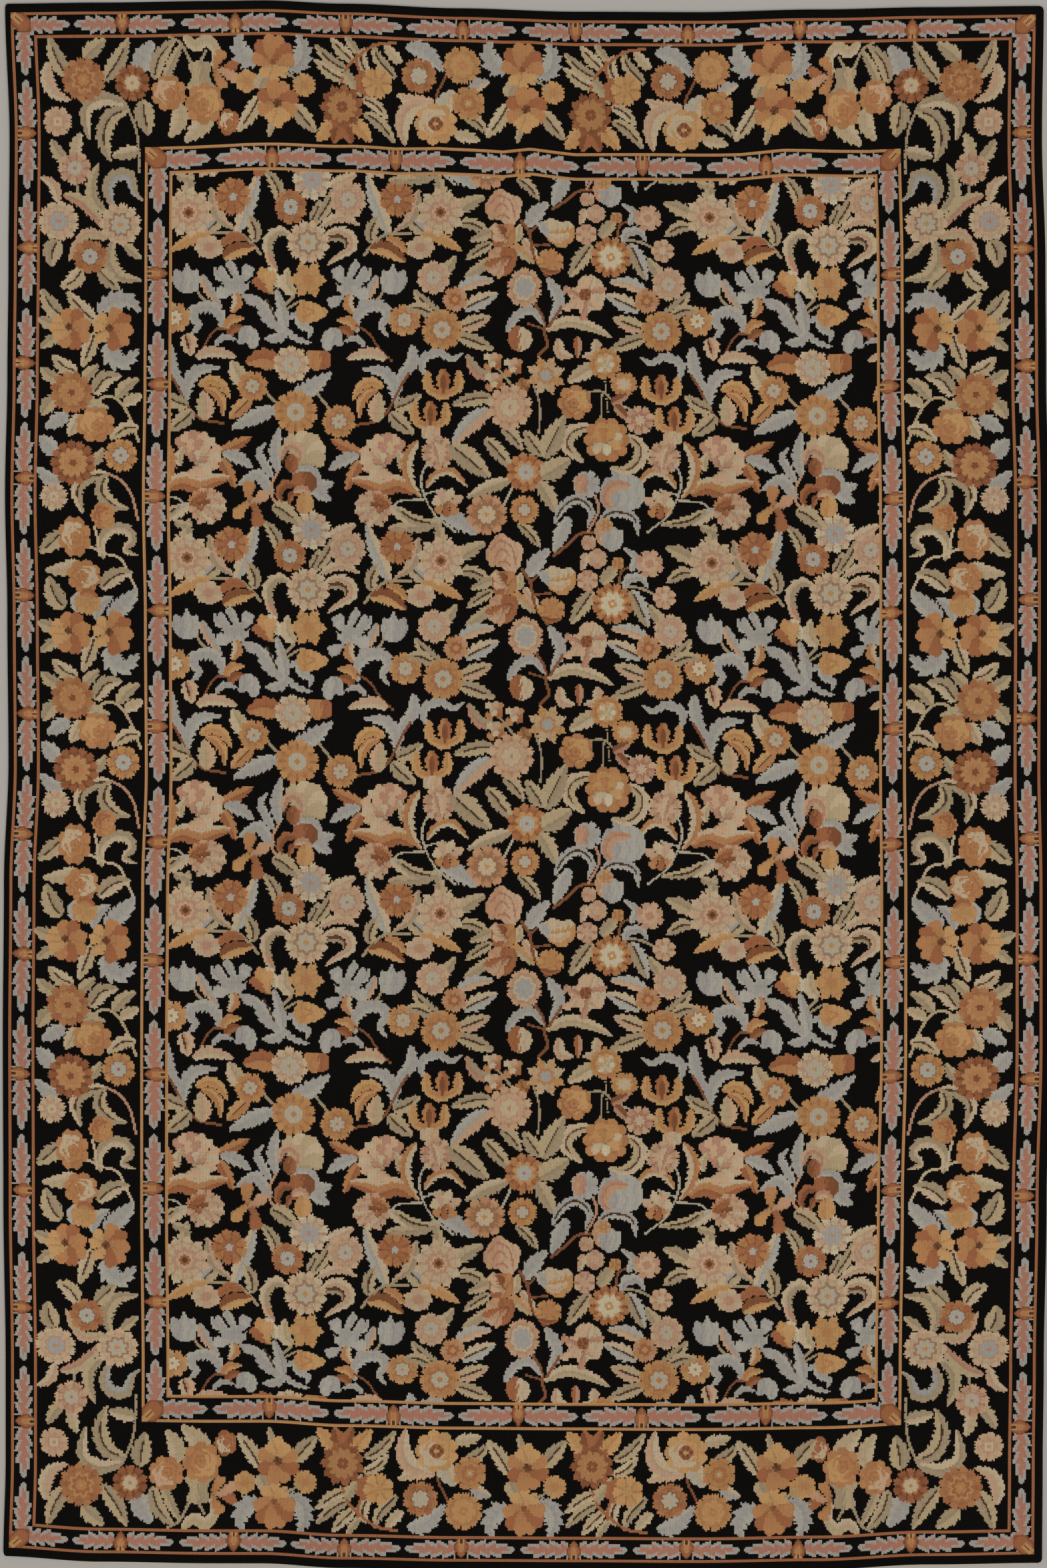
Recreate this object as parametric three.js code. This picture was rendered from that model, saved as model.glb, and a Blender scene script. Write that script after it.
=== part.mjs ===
// A needlepoint rug that lies flat: wool stitches on a cotton canvas, with a thin cotton
// lining sewn on below. Its ends bow a little and its long sides wander, as old canvas does.
// Units are millimetres, +Z is up, +Y is the rug's far end and +X its right side.
import * as THREE from 'three';

// The finished size of the rug: six feet by nine feet.
const RUG_WIDTH = 1829;
const RUG_LENGTH = 2743;

// The lining is one layer of cotton cloth, and the needlework lies just above it.
const LINING_THICKNESS = 1.0;
const LAYER_GAP = 0.3;
const WORK_THICKNESS = 3.0;

// The worked face is never quite level: soft waves lift it by this much at most.
const WAVE_HEIGHT = 0.9;
const WAVE_LENGTH_X = 610;
const WAVE_LENGTH_Y = 780;

// The lining's cut edge shows past the needlework by this much, where it shows at all.
const LINING_SHOW = 1.6;
const LINING_TUCK = 1.5;

const CORNER_RADIUS = 8;
const COLUMNS = 26;
const ROWS = 38;

// How far each end lies outside the true rectangle, at places across the width.
// `lining` is 1 where the lining's edge shows below the bottom end, and 0 where it doesn't.
const ENDS = [
  { across: -914, top: 6, bottom: -19, lining: 0 },
  { across: -737, top: 8, bottom: -9, lining: 1 },
  { across: -538, top: 11, bottom: -6, lining: 1 },
  { across: -456, top: 12, bottom: -6, lining: 1 },
  { across: -315, top: 6, bottom: 2, lining: 0 },
  { across: -115, top: -2, bottom: 6, lining: 0 },
  { across: 96, top: -8, bottom: 7, lining: 0 },
  { across: 308, top: -9, bottom: 8, lining: 0 },
  { across: 519, top: -4, bottom: 5, lining: 0 },
  { across: 718, top: 0, bottom: -4, lining: 1 },
  { across: 914, top: 2, bottom: -7, lining: 1 },
];

// How far each long side lies outside the true rectangle, at places along the length.
// `lining` is 1 where the lining's edge shows past the right side, and 0 where it doesn't.
const SIDES = [
  { along: 1372, left: 2, right: -4, lining: 0 },
  { along: 1137, left: -6, right: -7, lining: 1 },
  { along: 914, left: -4, right: -1, lining: 1 },
  { along: 714, left: -2, right: 0, lining: 0 },
  { along: 503, left: 2, right: 5, lining: 0 },
  { along: 292, left: -2, right: 5, lining: 0 },
  { along: 33, left: -4, right: 4, lining: 0 },
  { along: -178, left: 4, right: 8, lining: 0 },
  { along: -448, left: 6, right: 8, lining: 0 },
  { along: -730, left: 5, right: 1, lining: 0 },
  { along: -1023, left: 1, right: -4, lining: 0 },
  { along: -1199, left: 1, right: -6, lining: 0 },
  { along: -1372, left: 5, right: -7, lining: 0 },
];

// Reads one named column of a table at a place between its rows, with an even, smooth turn.
function readTable(table, key, column, place) {
  const rows = [...table].sort((a, b) => a[key] - b[key]);
  const clamped = Math.min(Math.max(place, rows[0][key]), rows[rows.length - 1][key]);
  let index = 0;
  while (index < rows.length - 2 && rows[index + 1][key] < clamped) {
    index += 1;
  }
  const low = rows[index];
  const high = rows[index + 1];
  const share = (clamped - low[key]) / (high[key] - low[key]);
  const eased = share * share * (3 - 2 * share);
  return low[column] + (high[column] - low[column]) * eased;
}

// Moves a point of the true rectangle to where it lies on the real, uneven rug.
function layPoint(x, y) {
  const across = x / RUG_WIDTH + 0.5;
  const along = y / RUG_LENGTH + 0.5;
  const left = readTable(SIDES, 'along', 'left', y);
  const right = readTable(SIDES, 'along', 'right', y);
  const top = readTable(ENDS, 'across', 'top', x);
  const bottom = readTable(ENDS, 'across', 'bottom', x);
  return [
    x + right * across - left * (1 - across),
    y + top * along - bottom * (1 - along),
  ];
}

// The places of the grid lines from edge to edge, with one line close inside each edge so that
// the corner can turn on its radius.
function gridPlaces(size, count) {
  const places = [-size / 2, -size / 2 + CORNER_RADIUS];
  for (let index = 1; index < count; index += 1) {
    places.push(-size / 2 + (size * index) / count);
  }
  places.push(size / 2 - CORNER_RADIUS, size / 2);
  return places;
}

// The outline's points, counterclockwise from the near left corner, grown outward by `grow`
// millimetres, which is a function of the point on the true rectangle.
function outlinePoints(grow) {
  const xs = gridPlaces(RUG_WIDTH, COLUMNS);
  const ys = gridPlaces(RUG_LENGTH, ROWS);
  const halfX = RUG_WIDTH / 2;
  const halfY = RUG_LENGTH / 2;
  const flat = [];
  const inner = xs.slice(1, -1);
  const innerY = ys.slice(1, -1);
  inner.forEach((x) => flat.push([x, -halfY, 0, -1]));
  innerY.forEach((y) => flat.push([halfX, y, 1, 0]));
  [...inner].reverse().forEach((x) => flat.push([x, halfY, 0, 1]));
  [...innerY].reverse().forEach((y) => flat.push([-halfX, y, -1, 0]));
  return flat.map(([x, y, outX, outY]) => {
    const [px, py] = layPoint(x, y);
    const out = grow(x, y);
    return new THREE.Vector2(px + outX * out, py + outY * out);
  });
}

// How far the lining reaches past the needlework at a point of the edge.
function liningReach(x, y) {
  const onBottom = y <= -RUG_LENGTH / 2 + 1;
  const onRight = x >= RUG_WIDTH / 2 - 1;
  let shown = 0;
  if (onBottom) {
    shown = readTable(ENDS, 'across', 'lining', x);
  } else if (onRight) {
    shown = readTable(SIDES, 'along', 'lining', y);
  }
  return LINING_SHOW * shown - LINING_TUCK * (1 - shown);
}

// The height of the worked face above its lowest level.
function waveHeight(x, y) {
  const first = Math.sin((2 * Math.PI * x) / WAVE_LENGTH_X + y / 900);
  const second = Math.sin((2 * Math.PI * y) / WAVE_LENGTH_Y - x / 700);
  return WAVE_HEIGHT * 0.5 * (1 + first * second);
}

// The needlework: a flat underside, a gently waved face and a plain edge, as one closed body.
function needleworkGeometry() {
  const xs = gridPlaces(RUG_WIDTH, COLUMNS);
  const ys = gridPlaces(RUG_LENGTH, ROWS);
  const base = LINING_THICKNESS + LAYER_GAP;
  const points = [];
  const lower = [];
  const upper = [];
  ys.forEach((y, row) => {
    lower.push([]);
    upper.push([]);
    xs.forEach((x, column) => {
      const corner = (row === 0 || row === ys.length - 1) && (column === 0 || column === xs.length - 1);
      if (corner) {
        lower[row].push(-1);
        upper[row].push(-1);
        return;
      }
      const [px, py] = layPoint(x, y);
      lower[row].push(points.length / 3);
      points.push(px, py, base);
      upper[row].push(points.length / 3);
      points.push(px, py, base + WORK_THICKNESS + waveHeight(px, py));
    });
  });
  const faces = [];
  for (let row = 0; row < ys.length - 1; row += 1) {
    for (let column = 0; column < xs.length - 1; column += 1) {
      const cells = [
        [row, column],
        [row, column + 1],
        [row + 1, column + 1],
        [row + 1, column],
      ];
      const top = cells.map(([r, c]) => upper[r][c]).filter((index) => index >= 0);
      const under = cells.map(([r, c]) => lower[r][c]).filter((index) => index >= 0);
      for (let turn = 1; turn < top.length - 1; turn += 1) {
        faces.push(top[0], top[turn], top[turn + 1]);
        faces.push(under[0], under[turn + 1], under[turn]);
      }
    }
  }
  const rim = [];
  const lastRow = ys.length - 1;
  const lastColumn = xs.length - 1;
  for (let column = 1; column < lastColumn; column += 1) {
    rim.push([0, column]);
  }
  for (let row = 1; row < lastRow; row += 1) {
    rim.push([row, lastColumn]);
  }
  for (let column = lastColumn - 1; column > 0; column -= 1) {
    rim.push([lastRow, column]);
  }
  for (let row = lastRow - 1; row > 0; row -= 1) {
    rim.push([row, 0]);
  }
  rim.forEach(([row, column], index) => {
    const [nextRow, nextColumn] = rim[(index + 1) % rim.length];
    const a = lower[row][column];
    const b = lower[nextRow][nextColumn];
    const c = upper[nextRow][nextColumn];
    const d = upper[row][column];
    faces.push(a, b, c, a, c, d);
  });
  const geometry = new THREE.BufferGeometry();
  geometry.setAttribute('position', new THREE.Float32BufferAttribute(points, 3));
  geometry.setIndex(faces);
  geometry.computeVertexNormals();
  return geometry;
}

// The lining: one flat layer of plain cotton cloth, cut close to the rug's own outline.
function liningGeometry() {
  const shape = new THREE.Shape(outlinePoints(liningReach));
  return new THREE.ExtrudeGeometry(shape, {
    depth: LINING_THICKNESS,
    bevelEnabled: false,
  });
}

const wool = new THREE.MeshStandardMaterial({ color: 0x2b211b, roughness: 0.95, metalness: 0 });
const cotton = new THREE.MeshStandardMaterial({ color: 0xc9bda2, roughness: 0.9, metalness: 0 });

const needlework = new THREE.Mesh(needleworkGeometry(), wool);
needlework.name = 'needlework';

const lining = new THREE.Mesh(liningGeometry(), cotton);
lining.name = 'lining';

// The origin is the middle of the rug's box, on the floor.
const rug = new THREE.Group();
rug.add(needlework, lining);
const box = new THREE.Box3().setFromObject(rug);
const middle = box.getCenter(new THREE.Vector3());
rug.position.set(-middle.x, -middle.y, -box.min.z);

export default rug;
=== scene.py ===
import math
from itertools import product

import bpy
import numpy as np
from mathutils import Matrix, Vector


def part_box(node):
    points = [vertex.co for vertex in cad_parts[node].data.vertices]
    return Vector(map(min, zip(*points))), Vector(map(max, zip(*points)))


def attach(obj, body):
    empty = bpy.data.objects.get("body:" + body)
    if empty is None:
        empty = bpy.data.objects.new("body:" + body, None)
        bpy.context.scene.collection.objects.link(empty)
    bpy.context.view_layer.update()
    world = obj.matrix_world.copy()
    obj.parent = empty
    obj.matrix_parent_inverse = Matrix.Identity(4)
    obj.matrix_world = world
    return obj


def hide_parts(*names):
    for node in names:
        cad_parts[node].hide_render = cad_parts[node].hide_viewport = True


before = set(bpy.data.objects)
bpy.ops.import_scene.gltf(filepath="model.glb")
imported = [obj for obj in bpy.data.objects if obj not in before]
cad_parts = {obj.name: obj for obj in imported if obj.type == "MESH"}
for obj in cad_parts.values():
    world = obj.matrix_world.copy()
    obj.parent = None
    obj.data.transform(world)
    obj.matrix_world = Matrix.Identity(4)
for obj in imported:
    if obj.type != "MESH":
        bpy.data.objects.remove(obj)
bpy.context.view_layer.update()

# Needlework: one cotton canvas worked all over in wool tent stitches, ten to the inch, with
# its black edge turned under as a hem. It lies flat on the lining and is sewn to it. Its
# flowers are charted one by one: places count columns from the left and rows from the far end.
RUG_WIDTH = 1.829
RUG_LENGTH = 2.743
COLUMNS, ROWS = 720, 1080
LINING_THICK = 0.0010
LAYER_GAP = 0.0003
WORK_THICK = 0.0030

# The wools as they look on the rug. They are made stronger by half, because the shade
# painted into the grooves between the stitches darkens them again.
WOOL_STRENGTH = 1.51
WOOLS = {
    "black": "#0c0b09", "cream": "#b09b7d", "shell": "#ac8c70", "peach": "#ac8465",
    "blue": "#948e85", "mist": "#9d978b", "orange": "#a2724a", "copper": "#905b3c",
    "gold": "#aa7e50", "amber": "#b08759", "rust": "#774a30", "tan": "#a4906f",
    "taupe": "#948266", "sage": "#a29781", "pink": "#a37a61", "pale": "#b5a88c",
    "dark": "#423123", "brown": "#553c2a", "rose": "#b39374", "blush": "#9d6c58",
}


def to_linear(code):
    """The linear red, green and blue of an sRGB hex colour."""
    parts = [int(code[i:i + 2], 16) / 255 for i in (1, 3, 5)]
    return [p / 12.92 if p <= 0.04045 else ((p + 0.055) / 1.055) ** 2.4 for p in parts]


def wool(name):
    return np.array(to_linear(WOOLS[name]))


def smooth_path(places, closed=False, steps=14):
    """A smooth line of points through a few places on the chart."""
    spots = np.array(places, float).reshape(-1, 2)
    if closed:
        spots = np.vstack([spots[-1:], spots, spots[:2]])
    else:
        spots = np.vstack([2 * spots[0] - spots[1], spots, 2 * spots[-1] - spots[-2]])
    t = np.linspace(0, 1, steps, endpoint=False)[:, None]
    pieces = []
    for a, b, c, d in zip(spots[:-3], spots[1:-2], spots[2:-1], spots[3:]):
        pieces.append(0.5 * (2 * b + (c - a) * t + (2 * a - 5 * b + 4 * c - d) * t ** 2
                             + (3 * b - a - 3 * c + d) * t ** 3))
    if not closed:
        pieces.append(spots[-2:-1])
    return np.vstack(pieces)


def sides(axis):
    """A motif with an axis is worked twice, as drawn and mirrored about that column."""
    return (1, -1) if axis else (1,)


class Chart:
    """A part of the stitch chart: one colour of wool for each stitch.

    In every motif the wools are named in one string, the axis is the column of the mirror
    and drop is how many rows lower the mirrored one lies.
    """

    def __init__(self, columns, rows, repeats=False, fuller=1.0):
        self.stitches = np.full((rows, columns, 3), np.nan)
        self.repeats = repeats
        self.left = 0
        self.top = 0
        self.fuller = fuller
        self.count = 0

    def tools(self):
        return self.leaf, self.stem, self.patch, self.fan, self.flower, self.rose

    def area(self, line, reach):
        """The middles of all the stitches round a line."""
        low = np.floor(line.min(axis=0) - reach)
        high = np.ceil(line.max(axis=0) + reach)
        return np.meshgrid(np.arange(low[0], high[0]) + 0.5, np.arange(low[1], high[1]) + 0.5)

    def work(self, x, y, inside, colour):
        """Works the stitches inside a shape; a repeating chart goes on at its other side."""
        column = np.floor(x[inside]).astype(int) - self.left
        row = np.floor(y[inside]).astype(int) - self.top
        colour = np.broadcast_to(colour, x.shape + (3,))[inside]
        rows, columns = self.stitches.shape[:2]
        if self.repeats:
            column %= columns
            row %= rows
        else:
            fits = (column >= 0) & (column < columns) & (row >= 0) & (row < rows)
            column, row, colour = column[fits], row[fits], colour[fits]
        self.stitches[row, column] = colour

    def leaf(self, wools, *each, axis=None, drop=0, teeth=0.3, blunt=False, fan=False):
        """Leaves and curls along smooth lines, each given as its width and then its places.

        The wools are the left half, the right half and the vein. A leaf is widest before its
        middle and has a tooth every five stitches; a blunt one is as wide all along.
        """
        names = wools.split()
        left, right = wool(names[0]), wool(names[min(1, len(names) - 1)])
        vein = wool(names[2]) if len(names) > 2 else None
        for (width, *places), flip in product(each, sides(axis)):
            line = smooth_path(places)
            if flip < 0:
                line = line * [-1, 1] + [2 * axis, drop]
            along = np.concatenate([[0], np.cumsum(np.hypot(*np.diff(line, axis=0).T))])
            length = along[-1]
            along = along / length
            tangent = np.gradient(line, axis=0)
            tangent /= np.hypot(tangent[:, 0], tangent[:, 1])[:, None] + 1e-9
            x, y = self.area(line, width / 2 + 3)
            dx = x[..., None] - line[:, 0]
            dy = y[..., None] - line[:, 1]
            near = np.argmin(dx * dx + dy * dy, axis=-1)
            pick = near[..., None]
            dx = np.take_along_axis(dx, pick, -1)[..., 0]
            dy = np.take_along_axis(dy, pick, -1)[..., 0]
            t = along[near]
            side = (tangent[near, 0] * dy - tangent[near, 1] * dx) * flip
            if blunt:
                half = np.full(t.shape, width / 2)
            elif fan:
                half = width / 2 * (0.3 + 0.7 * t) + 0.5 * np.sin(2.2 * t * length + side)
            else:
                full = width * self.fuller / 2 * np.clip(np.sin(math.pi * t ** 0.78), 0, 1) ** 0.7
                bites = max(2, round(length / 5))
                saw = (t * bites + 0.35 * (side > 0)) % 1
                depth = np.minimum(1.7, 0.32 * full) * teeth / 0.3
                half = np.maximum(0.95 * full + 0.3 - depth * (1 - saw), 0.55)
            inside = np.hypot(dx, dy) <= half
            near_middle = np.clip(1 - np.abs(side) / (0.55 * half + 0.1), 0, 1)
            tone = 1.03 - 0.13 * near_middle * (side > 0) - 0.04 * near_middle
            colour = np.where((side > 0)[..., None], right, left)
            if fan:
                tone = 0.9 + 0.15 * t - 0.22 * (half - side * (side > 0) < 1.1)
            elif not blunt:
                tone = tone - 0.07 * (((t * bites - 0.25 * np.abs(side) / width * 2) % 1) < 0.25)
            if not blunt:
                colour = colour * tone[..., None]
            self.work(x, y, inside, colour)
            if vein is not None:
                on_vein = (np.abs(side) < 0.65) & (t > 0.1) & (t < 0.75) & inside
                self.work(x, y, on_vein, vein)

    def stem(self, wools, *each, axis=None, drop=0):
        """Stems along smooth lines, each given as its width and then its places."""
        self.leaf(wools, *each, axis=axis, drop=drop, blunt=True)

    def fan(self, wools, *each, axis=None, drop=0):
        """Petals, each in the next of the wools: their width, where they start, their tips."""
        names = wools.split()
        for width, x0, y0, *tips in each:
            for number, (x1, y1) in enumerate(zip(tips[::2], tips[1::2])):
                side = (number % 2 * 2 - 1) * 0.08
                bend = ((x0 + x1) / 2 - side * (y1 - y0), (y0 + y1) / 2 + side * (x1 - x0))
                self.leaf(names[number % len(names)], (width, x0, y0, *bend, x1, y1),
                          axis=axis, drop=drop, fan=True)

    def flower(self, x0, y0, size, petals, wools, *rings, axis=None, tall=1.0, turn=0.0,
               pointed=False, drop=0):
        """A round flower: notched petals in two mixed wools, then rings one inside the other.

        Each ring is given as its radius and its wool. A large flower has a second layer.
        """
        names = wools.split()
        base, other = wool(names[0]), wool(names[min(1, len(names) - 1)])
        for flip in sides(axis):
            cx, cy = (x0, y0) if flip > 0 else (2 * axis - x0, y0 + drop)
            self.count += 1
            x, y = self.area(np.array([[cx, cy]]), size * max(1, tall) + 1)
            dx = (x - cx) * flip
            dy = (y - cy) / tall
            away = np.hypot(dx, dy)
            angle = np.arctan2(dy, dx) + turn
            share = (angle * petals / (2 * math.pi)) % 1
            number = np.floor(angle * petals / (2 * math.pi)).astype(int) % petals
            bump = 1 - np.abs(2 * share - 1) if pointed else np.abs(np.sin(math.pi * share)) ** 0.55
            deep = 0.17 if not pointed else 0.34 if petals < 9 else 0.2
            ragged = 0.8 * (share * 3 % 1 < 0.35) * (size > 8)
            inside = away <= size * (1 - deep + deep * bump) - ragged
            mix = (((number * 7 + self.count * 3) % 5) / 4)[..., None]
            colour = base * (1 - mix * 0.75) + other * mix * 0.75
            gap = np.minimum(share, 1 - share) * 2 * math.pi / petals * away
            notch = (gap < 0.7) & (away > 0.3 * size)
            colour = np.where(notch[..., None], other * 0.84, colour)
            colour = colour * (0.87 + 0.18 * np.clip(away / size, 0, 1))[..., None]
            under = np.abs(np.cos(math.pi * share)) ** 0.55
            layer = np.abs(away - size * (0.62 + 0.1 * under)) < 0.6
            colour = np.where((layer & (size > 11))[..., None], colour * 0.86, colour)
            self.work(x, y, inside, colour)
            for radius, name in zip(rings[::2], rings[1::2]):
                teeth = 5 if radius < 3 else 8 if radius < 9 else 12
                jag = np.abs(np.sin((angle * teeth + self.count) / 2))
                accent = radius == rings[0] and len(rings) > 4
                shade = wool(name) * 0.65 + base * 0.35 if accent else wool(name)
                self.work(x, y, away <= radius * (0.78 + 0.26 * jag), shade)

    def rose(self, x0, y0, wide, high, wools, turn=0.0, lobes=7):
        """A full flower with overlapping curved petals in two to four wools."""
        names = wools.split()
        shades = np.array([wool(n) for n in names])
        x, y = self.area(np.array([[x0, y0]]), max(wide, high) + 1)
        dx = (x - x0) / wide
        dy = (y - y0) / high
        away = np.hypot(dx, dy)
        angle = np.arctan2(dy, dx) / (2 * math.pi) + turn
        bump = np.abs(np.sin(math.pi * lobes * angle)) ** 0.6
        light, deep = shades[min(1, len(names) - 1)], (shades[-1] + shades[0]) / 2
        number = np.floor(angle * lobes).astype(int) % 3
        colour = shades[0] * np.array([1.0, 0.9, 1.06])[number][..., None]
        edge = (away > 0.62) & (bump < 0.42)
        colour = np.where(edge[..., None], deep, colour)
        self.work(x, y, away <= 0.82 + 0.2 * bump, colour)
        cos, sin = math.cos(turn * 6.28), math.sin(turn * 6.28)
        for radius, right, down, shade in (
                (0.66, -0.10, -0.08, light), (0.58, 0.08, 0.10, deep),
                (0.54, 0.02, 0.06, shades[0]), (0.42, -0.06, -0.02, light),
                (0.32, 0.08, 0.05, deep), (0.24, 0.0, 0.0, shades[0]), (0.10, 0.05, 0.02, deep)):
            px = dx - right * cos + down * sin
            py = dy - right * sin - down * cos
            wobble = 1 + 0.10 * np.sin(5 * np.arctan2(py, px) + 9 * radius)
            self.work(x, y, np.hypot(px, py) <= radius * wobble, shade)

    def patch(self, wools, *each, axis=None, drop=0, lean=0.25):
        """Closed shapes with small lobes on their edge: one wool, or two that meet in them."""
        names = wools.split()
        first, second = wool(names[0]), wool(names[min(1, len(names) - 1)])
        lobe = 0.9
        for places, flip in product(each, sides(axis)):
            line = smooth_path(places, closed=True, steps=6)
            steps = np.roll(line, -1, axis=0) - np.roll(line, 1, axis=0)
            steps /= np.hypot(steps[:, 0], steps[:, 1])[:, None] + 1e-9
            spread = np.cumsum(np.hypot(*(line - np.roll(line, 1, axis=0)).T))
            ripple = np.abs(np.sin(spread * math.pi / 6)) ** 0.6 - 0.6
            turning = np.sign(np.sum(line[:, 0] * np.roll(line[:, 1], -1)
                                     - line[:, 1] * np.roll(line[:, 0], -1)))
            outward = np.stack([steps[:, 1], -steps[:, 0]], 1)
            line = line + lobe * turning * ripple[:, None] * outward
            if flip < 0:
                line = line * [-1, 1] + [2 * axis, drop]
            x, y = self.area(line, 1)
            inside = np.zeros(x.shape, bool)
            for (ax, ay), (bx, by) in zip(line, np.roll(line, -1, axis=0)):
                if ay != by:
                    crossing = (ay > y) != (by > y)
                    inside ^= crossing & (x < (bx - ax) * (y - ay) / (by - ay) + ax)
            middle = line.mean(axis=0)
            across = (y - middle[1]) * math.cos(lean * 2 * math.pi)
            across = across + (x - middle[0]) * flip * math.sin(lean * 2 * math.pi)
            jig = 1.4 * np.sin(x * 1.9 + y * 0.7)
            colour = np.where((across + jig > 0)[..., None], second, first)
            streak = np.sin(x * 0.9 + np.sin(y * 0.5)) > 0.75
            colour = np.where(streak[..., None], colour * 0.88, colour)
            self.work(x, y, inside, colour)


# One repeat of the field, which goes on at its other side where a motif runs over.
FIELD_COLUMNS, FIELD_ROWS = 361, 240
field = Chart(FIELD_COLUMNS, FIELD_ROWS, repeats=True)
leaf, stem, patch, fan, flower, rose = field.tools()

# the pair of sprays at the left: leaves and stems first, then flowers over them
leaf("tan taupe", (12, 199, 26, 206, 20, 218, 14), (12, 362, 26, 354, 21, 342, 16))
leaf("tan taupe", (10, 12, 18, 13, 8, 15, -1), axis=100)
leaf("blue tan dark", (12, 22, 42, 28, 36, 38, 27), axis=100)
leaf("shell taupe", (8, 28, 9, 31, 25, 36, 32, 46, 39), axis=100)
leaf("cream mist", (13, 46, 41, 51, 27, 57, 13, 61, 0), axis=98.5)
leaf("tan taupe dark", (11, 58, 47, 58, 38, 53, 28), axis=98.5)
stem("taupe", (2.2, 30, 40, 45, 40, 52, 44, 58, 50, 62, 55), axis=98)
leaf("gold amber", (10, 28, 40, 15, 44, 0, 53), axis=101)
flower(27, 50, 10.5, 7, "shell cream", 4, "pink", axis=100, tall=0.8)
leaf("copper", (8, 35, 49, 43, 43, 53, 45))
leaf("orange amber", (9, 149, 43, 156, 46, 164, 53))
leaf("rust amber", (13, 36, 58, 46, 52, 59, 50), (13, 138, 51, 150, 51, 163, 60))
leaf("tan taupe dark", (10, 200, 34, 209, 34, 221, 40))
leaf("taupe tan dark", (10, 362, 34, 353, 34, 342, 41))
flower(13, 26, 17.5, 11, "cream rose", 8.5, "blush", 5.8, "rose", 4, "copper", 2,
       "brown", axis=100, pointed=True)
flower(43, 16.5, 12.5, 9, "orange copper", 5.5, "copper", 2.6, "mist", axis=100)

# the middle spray
leaf("taupe tan dark", (8, 97, 32, 101, 25, 103, 18), (10, 100, 33, 108, 22, 116, 7))
leaf("cream shell", (10, 110, 9, 120, 5, 129, 1), (8, 104, 35, 113, 30, 122, 30, 131, 35),
     (8, 106, 41, 117, 38, 125, 43, 125, 51, 116, 56, 108, 62))
leaf("tan taupe dark", (11, 76, 21, 73, 10, 65, 0))
leaf("taupe cream", (9, 83, 41, 75, 39, 68, 45, 68, 55, 74, 67))
leaf("pink rose", (6, 67, 54, 69, 60, 74, 67))
leaf("brown taupe", (5, 106, 44, 116, 43, 121, 46, 121, 50))
leaf("cream tan", (11, 86, 83, 80, 75, 81, 64))
leaf("pale cream", (9, 66, 65, 71, 70, 75, 79))
flower(98, 5, 14, 11, "pale shell", 8, "pink", 7, "blue", 1.6, "pink")
flower(83, 23, 11.5, 9, "copper orange", 6, "rust", 5.2, "mist", 1.4, "copper")
flower(123, 18, 13, 10, "shell rose", 7, "blush", 5.5, "sage", 1.5, "blush")
flower(95, 46, 15, 12, "cream rose", 8.5, "rust", 6.5, "sage", 2, "gold")
flower(95, 72, 13, 6, "gold amber", 4, "orange", tall=1.05, turn=0.5, pointed=True)
fan("copper gold amber", (9, 70, 82, 60, 73, 64, 69, 69, 71))

# blue tulips, lilies, bells and curls round the middle
leaf("blue shell", (8, 22, 69, 27, 80, 36, 93), axis=82.5)
stem("taupe", (1.8, 18, 78, 22, 85, 32, 93), axis=83)
patch("blue mist", (3, 68, 6, 65, 9, 67, 12, 61, 15, 66, 19, 66, 21, 74, 17, 81, 8, 81, 3, 75), axis=83)
fan("blue mist", (9, 46, 82, 36, 68, 41, 65, 53, 67, 52, 71, 56, 87, 36, 82), axis=84.5)
leaf("blue mist", (7, 44, 72, 42, 65, 41, 58), axis=84.5)
leaf("mist blue", (5, 36, 74, 32, 69, 31, 64), axis=84.5)
flower(47, 75, 8, 6, "blue mist", axis=84.5)
stem("black", (1.7, 37, 63, 42, 71), (1.7, 48, 59, 48, 69), (1.7, 59, 70, 52, 75),
     (1.7, 60, 83, 52, 82), (1.7, 49, 92, 48, 84), axis=84.5)
leaf("orange cream", (9, 45, 82, 46, 89, 42, 96), axis=84.5)
leaf("blue mist", (10, 36, 108, 35, 98, 28, 92, 19, 93, 16, 98, 20, 105, 14, 112), teeth=0.35)
leaf("rose cream", (13, 14, 110, 14, 118, 15, 126))
leaf("pink rose dark", (6, 11, 111, 13, 118, 14, 124))
flower(4, 99, 11, 9, "orange amber", 6, "copper", 5, "pale", 1.4, "orange")
leaf("blue mist", (10, 129, 109, 129, 98, 137, 91, 147, 91, 150, 98, 146, 104, 151, 112),
     (13, 79, 108, 68, 98, 58, 84))
leaf("orange amber", (8, 38, 108, 42, 101, 51, 100), axis=83)
leaf("rust copper", (7, 40, 112, 44, 107, 51, 106), axis=83)
stem("rust", (1.5, 23, 122, 28, 112, 33, 107, 41, 108), (1.5, 129, 104, 138, 110, 144, 119, 153, 128))
patch("blue mist", (48, 108, 54, 105, 60, 109, 61, 118, 56, 121, 52, 117, 47, 118), axis=83)
leaf("blue", (5, 31, 119, 37, 113, 46, 115), axis=83)
leaf("mist blue", (9, 80, 107, 77, 93, 73, 79))
leaf("blue mist", (7, 81, 99, 88, 97, 90, 103, 97, 107, 95, 113), (5, 79, 106, 87, 113, 98, 116),
     (9, 81, 107, 74, 113, 65, 114))
stem("taupe", (1.8, 80, 93, 90, 87, 97, 90), (1.8, 79, 90, 85, 84))
stem("dark", (1.4, 66, 86, 70, 94, 74, 102))
patch("gold amber", (87, 94, 90, 88, 99, 88, 109, 94, 100, 101, 90, 101))
stem("orange", (1.5, 92, 91, 99, 94, 92, 98))
flower(162, 100, 11.5, 9, "orange amber", 6.5, "copper", 5, "sage", 1.4, "gold")

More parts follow.
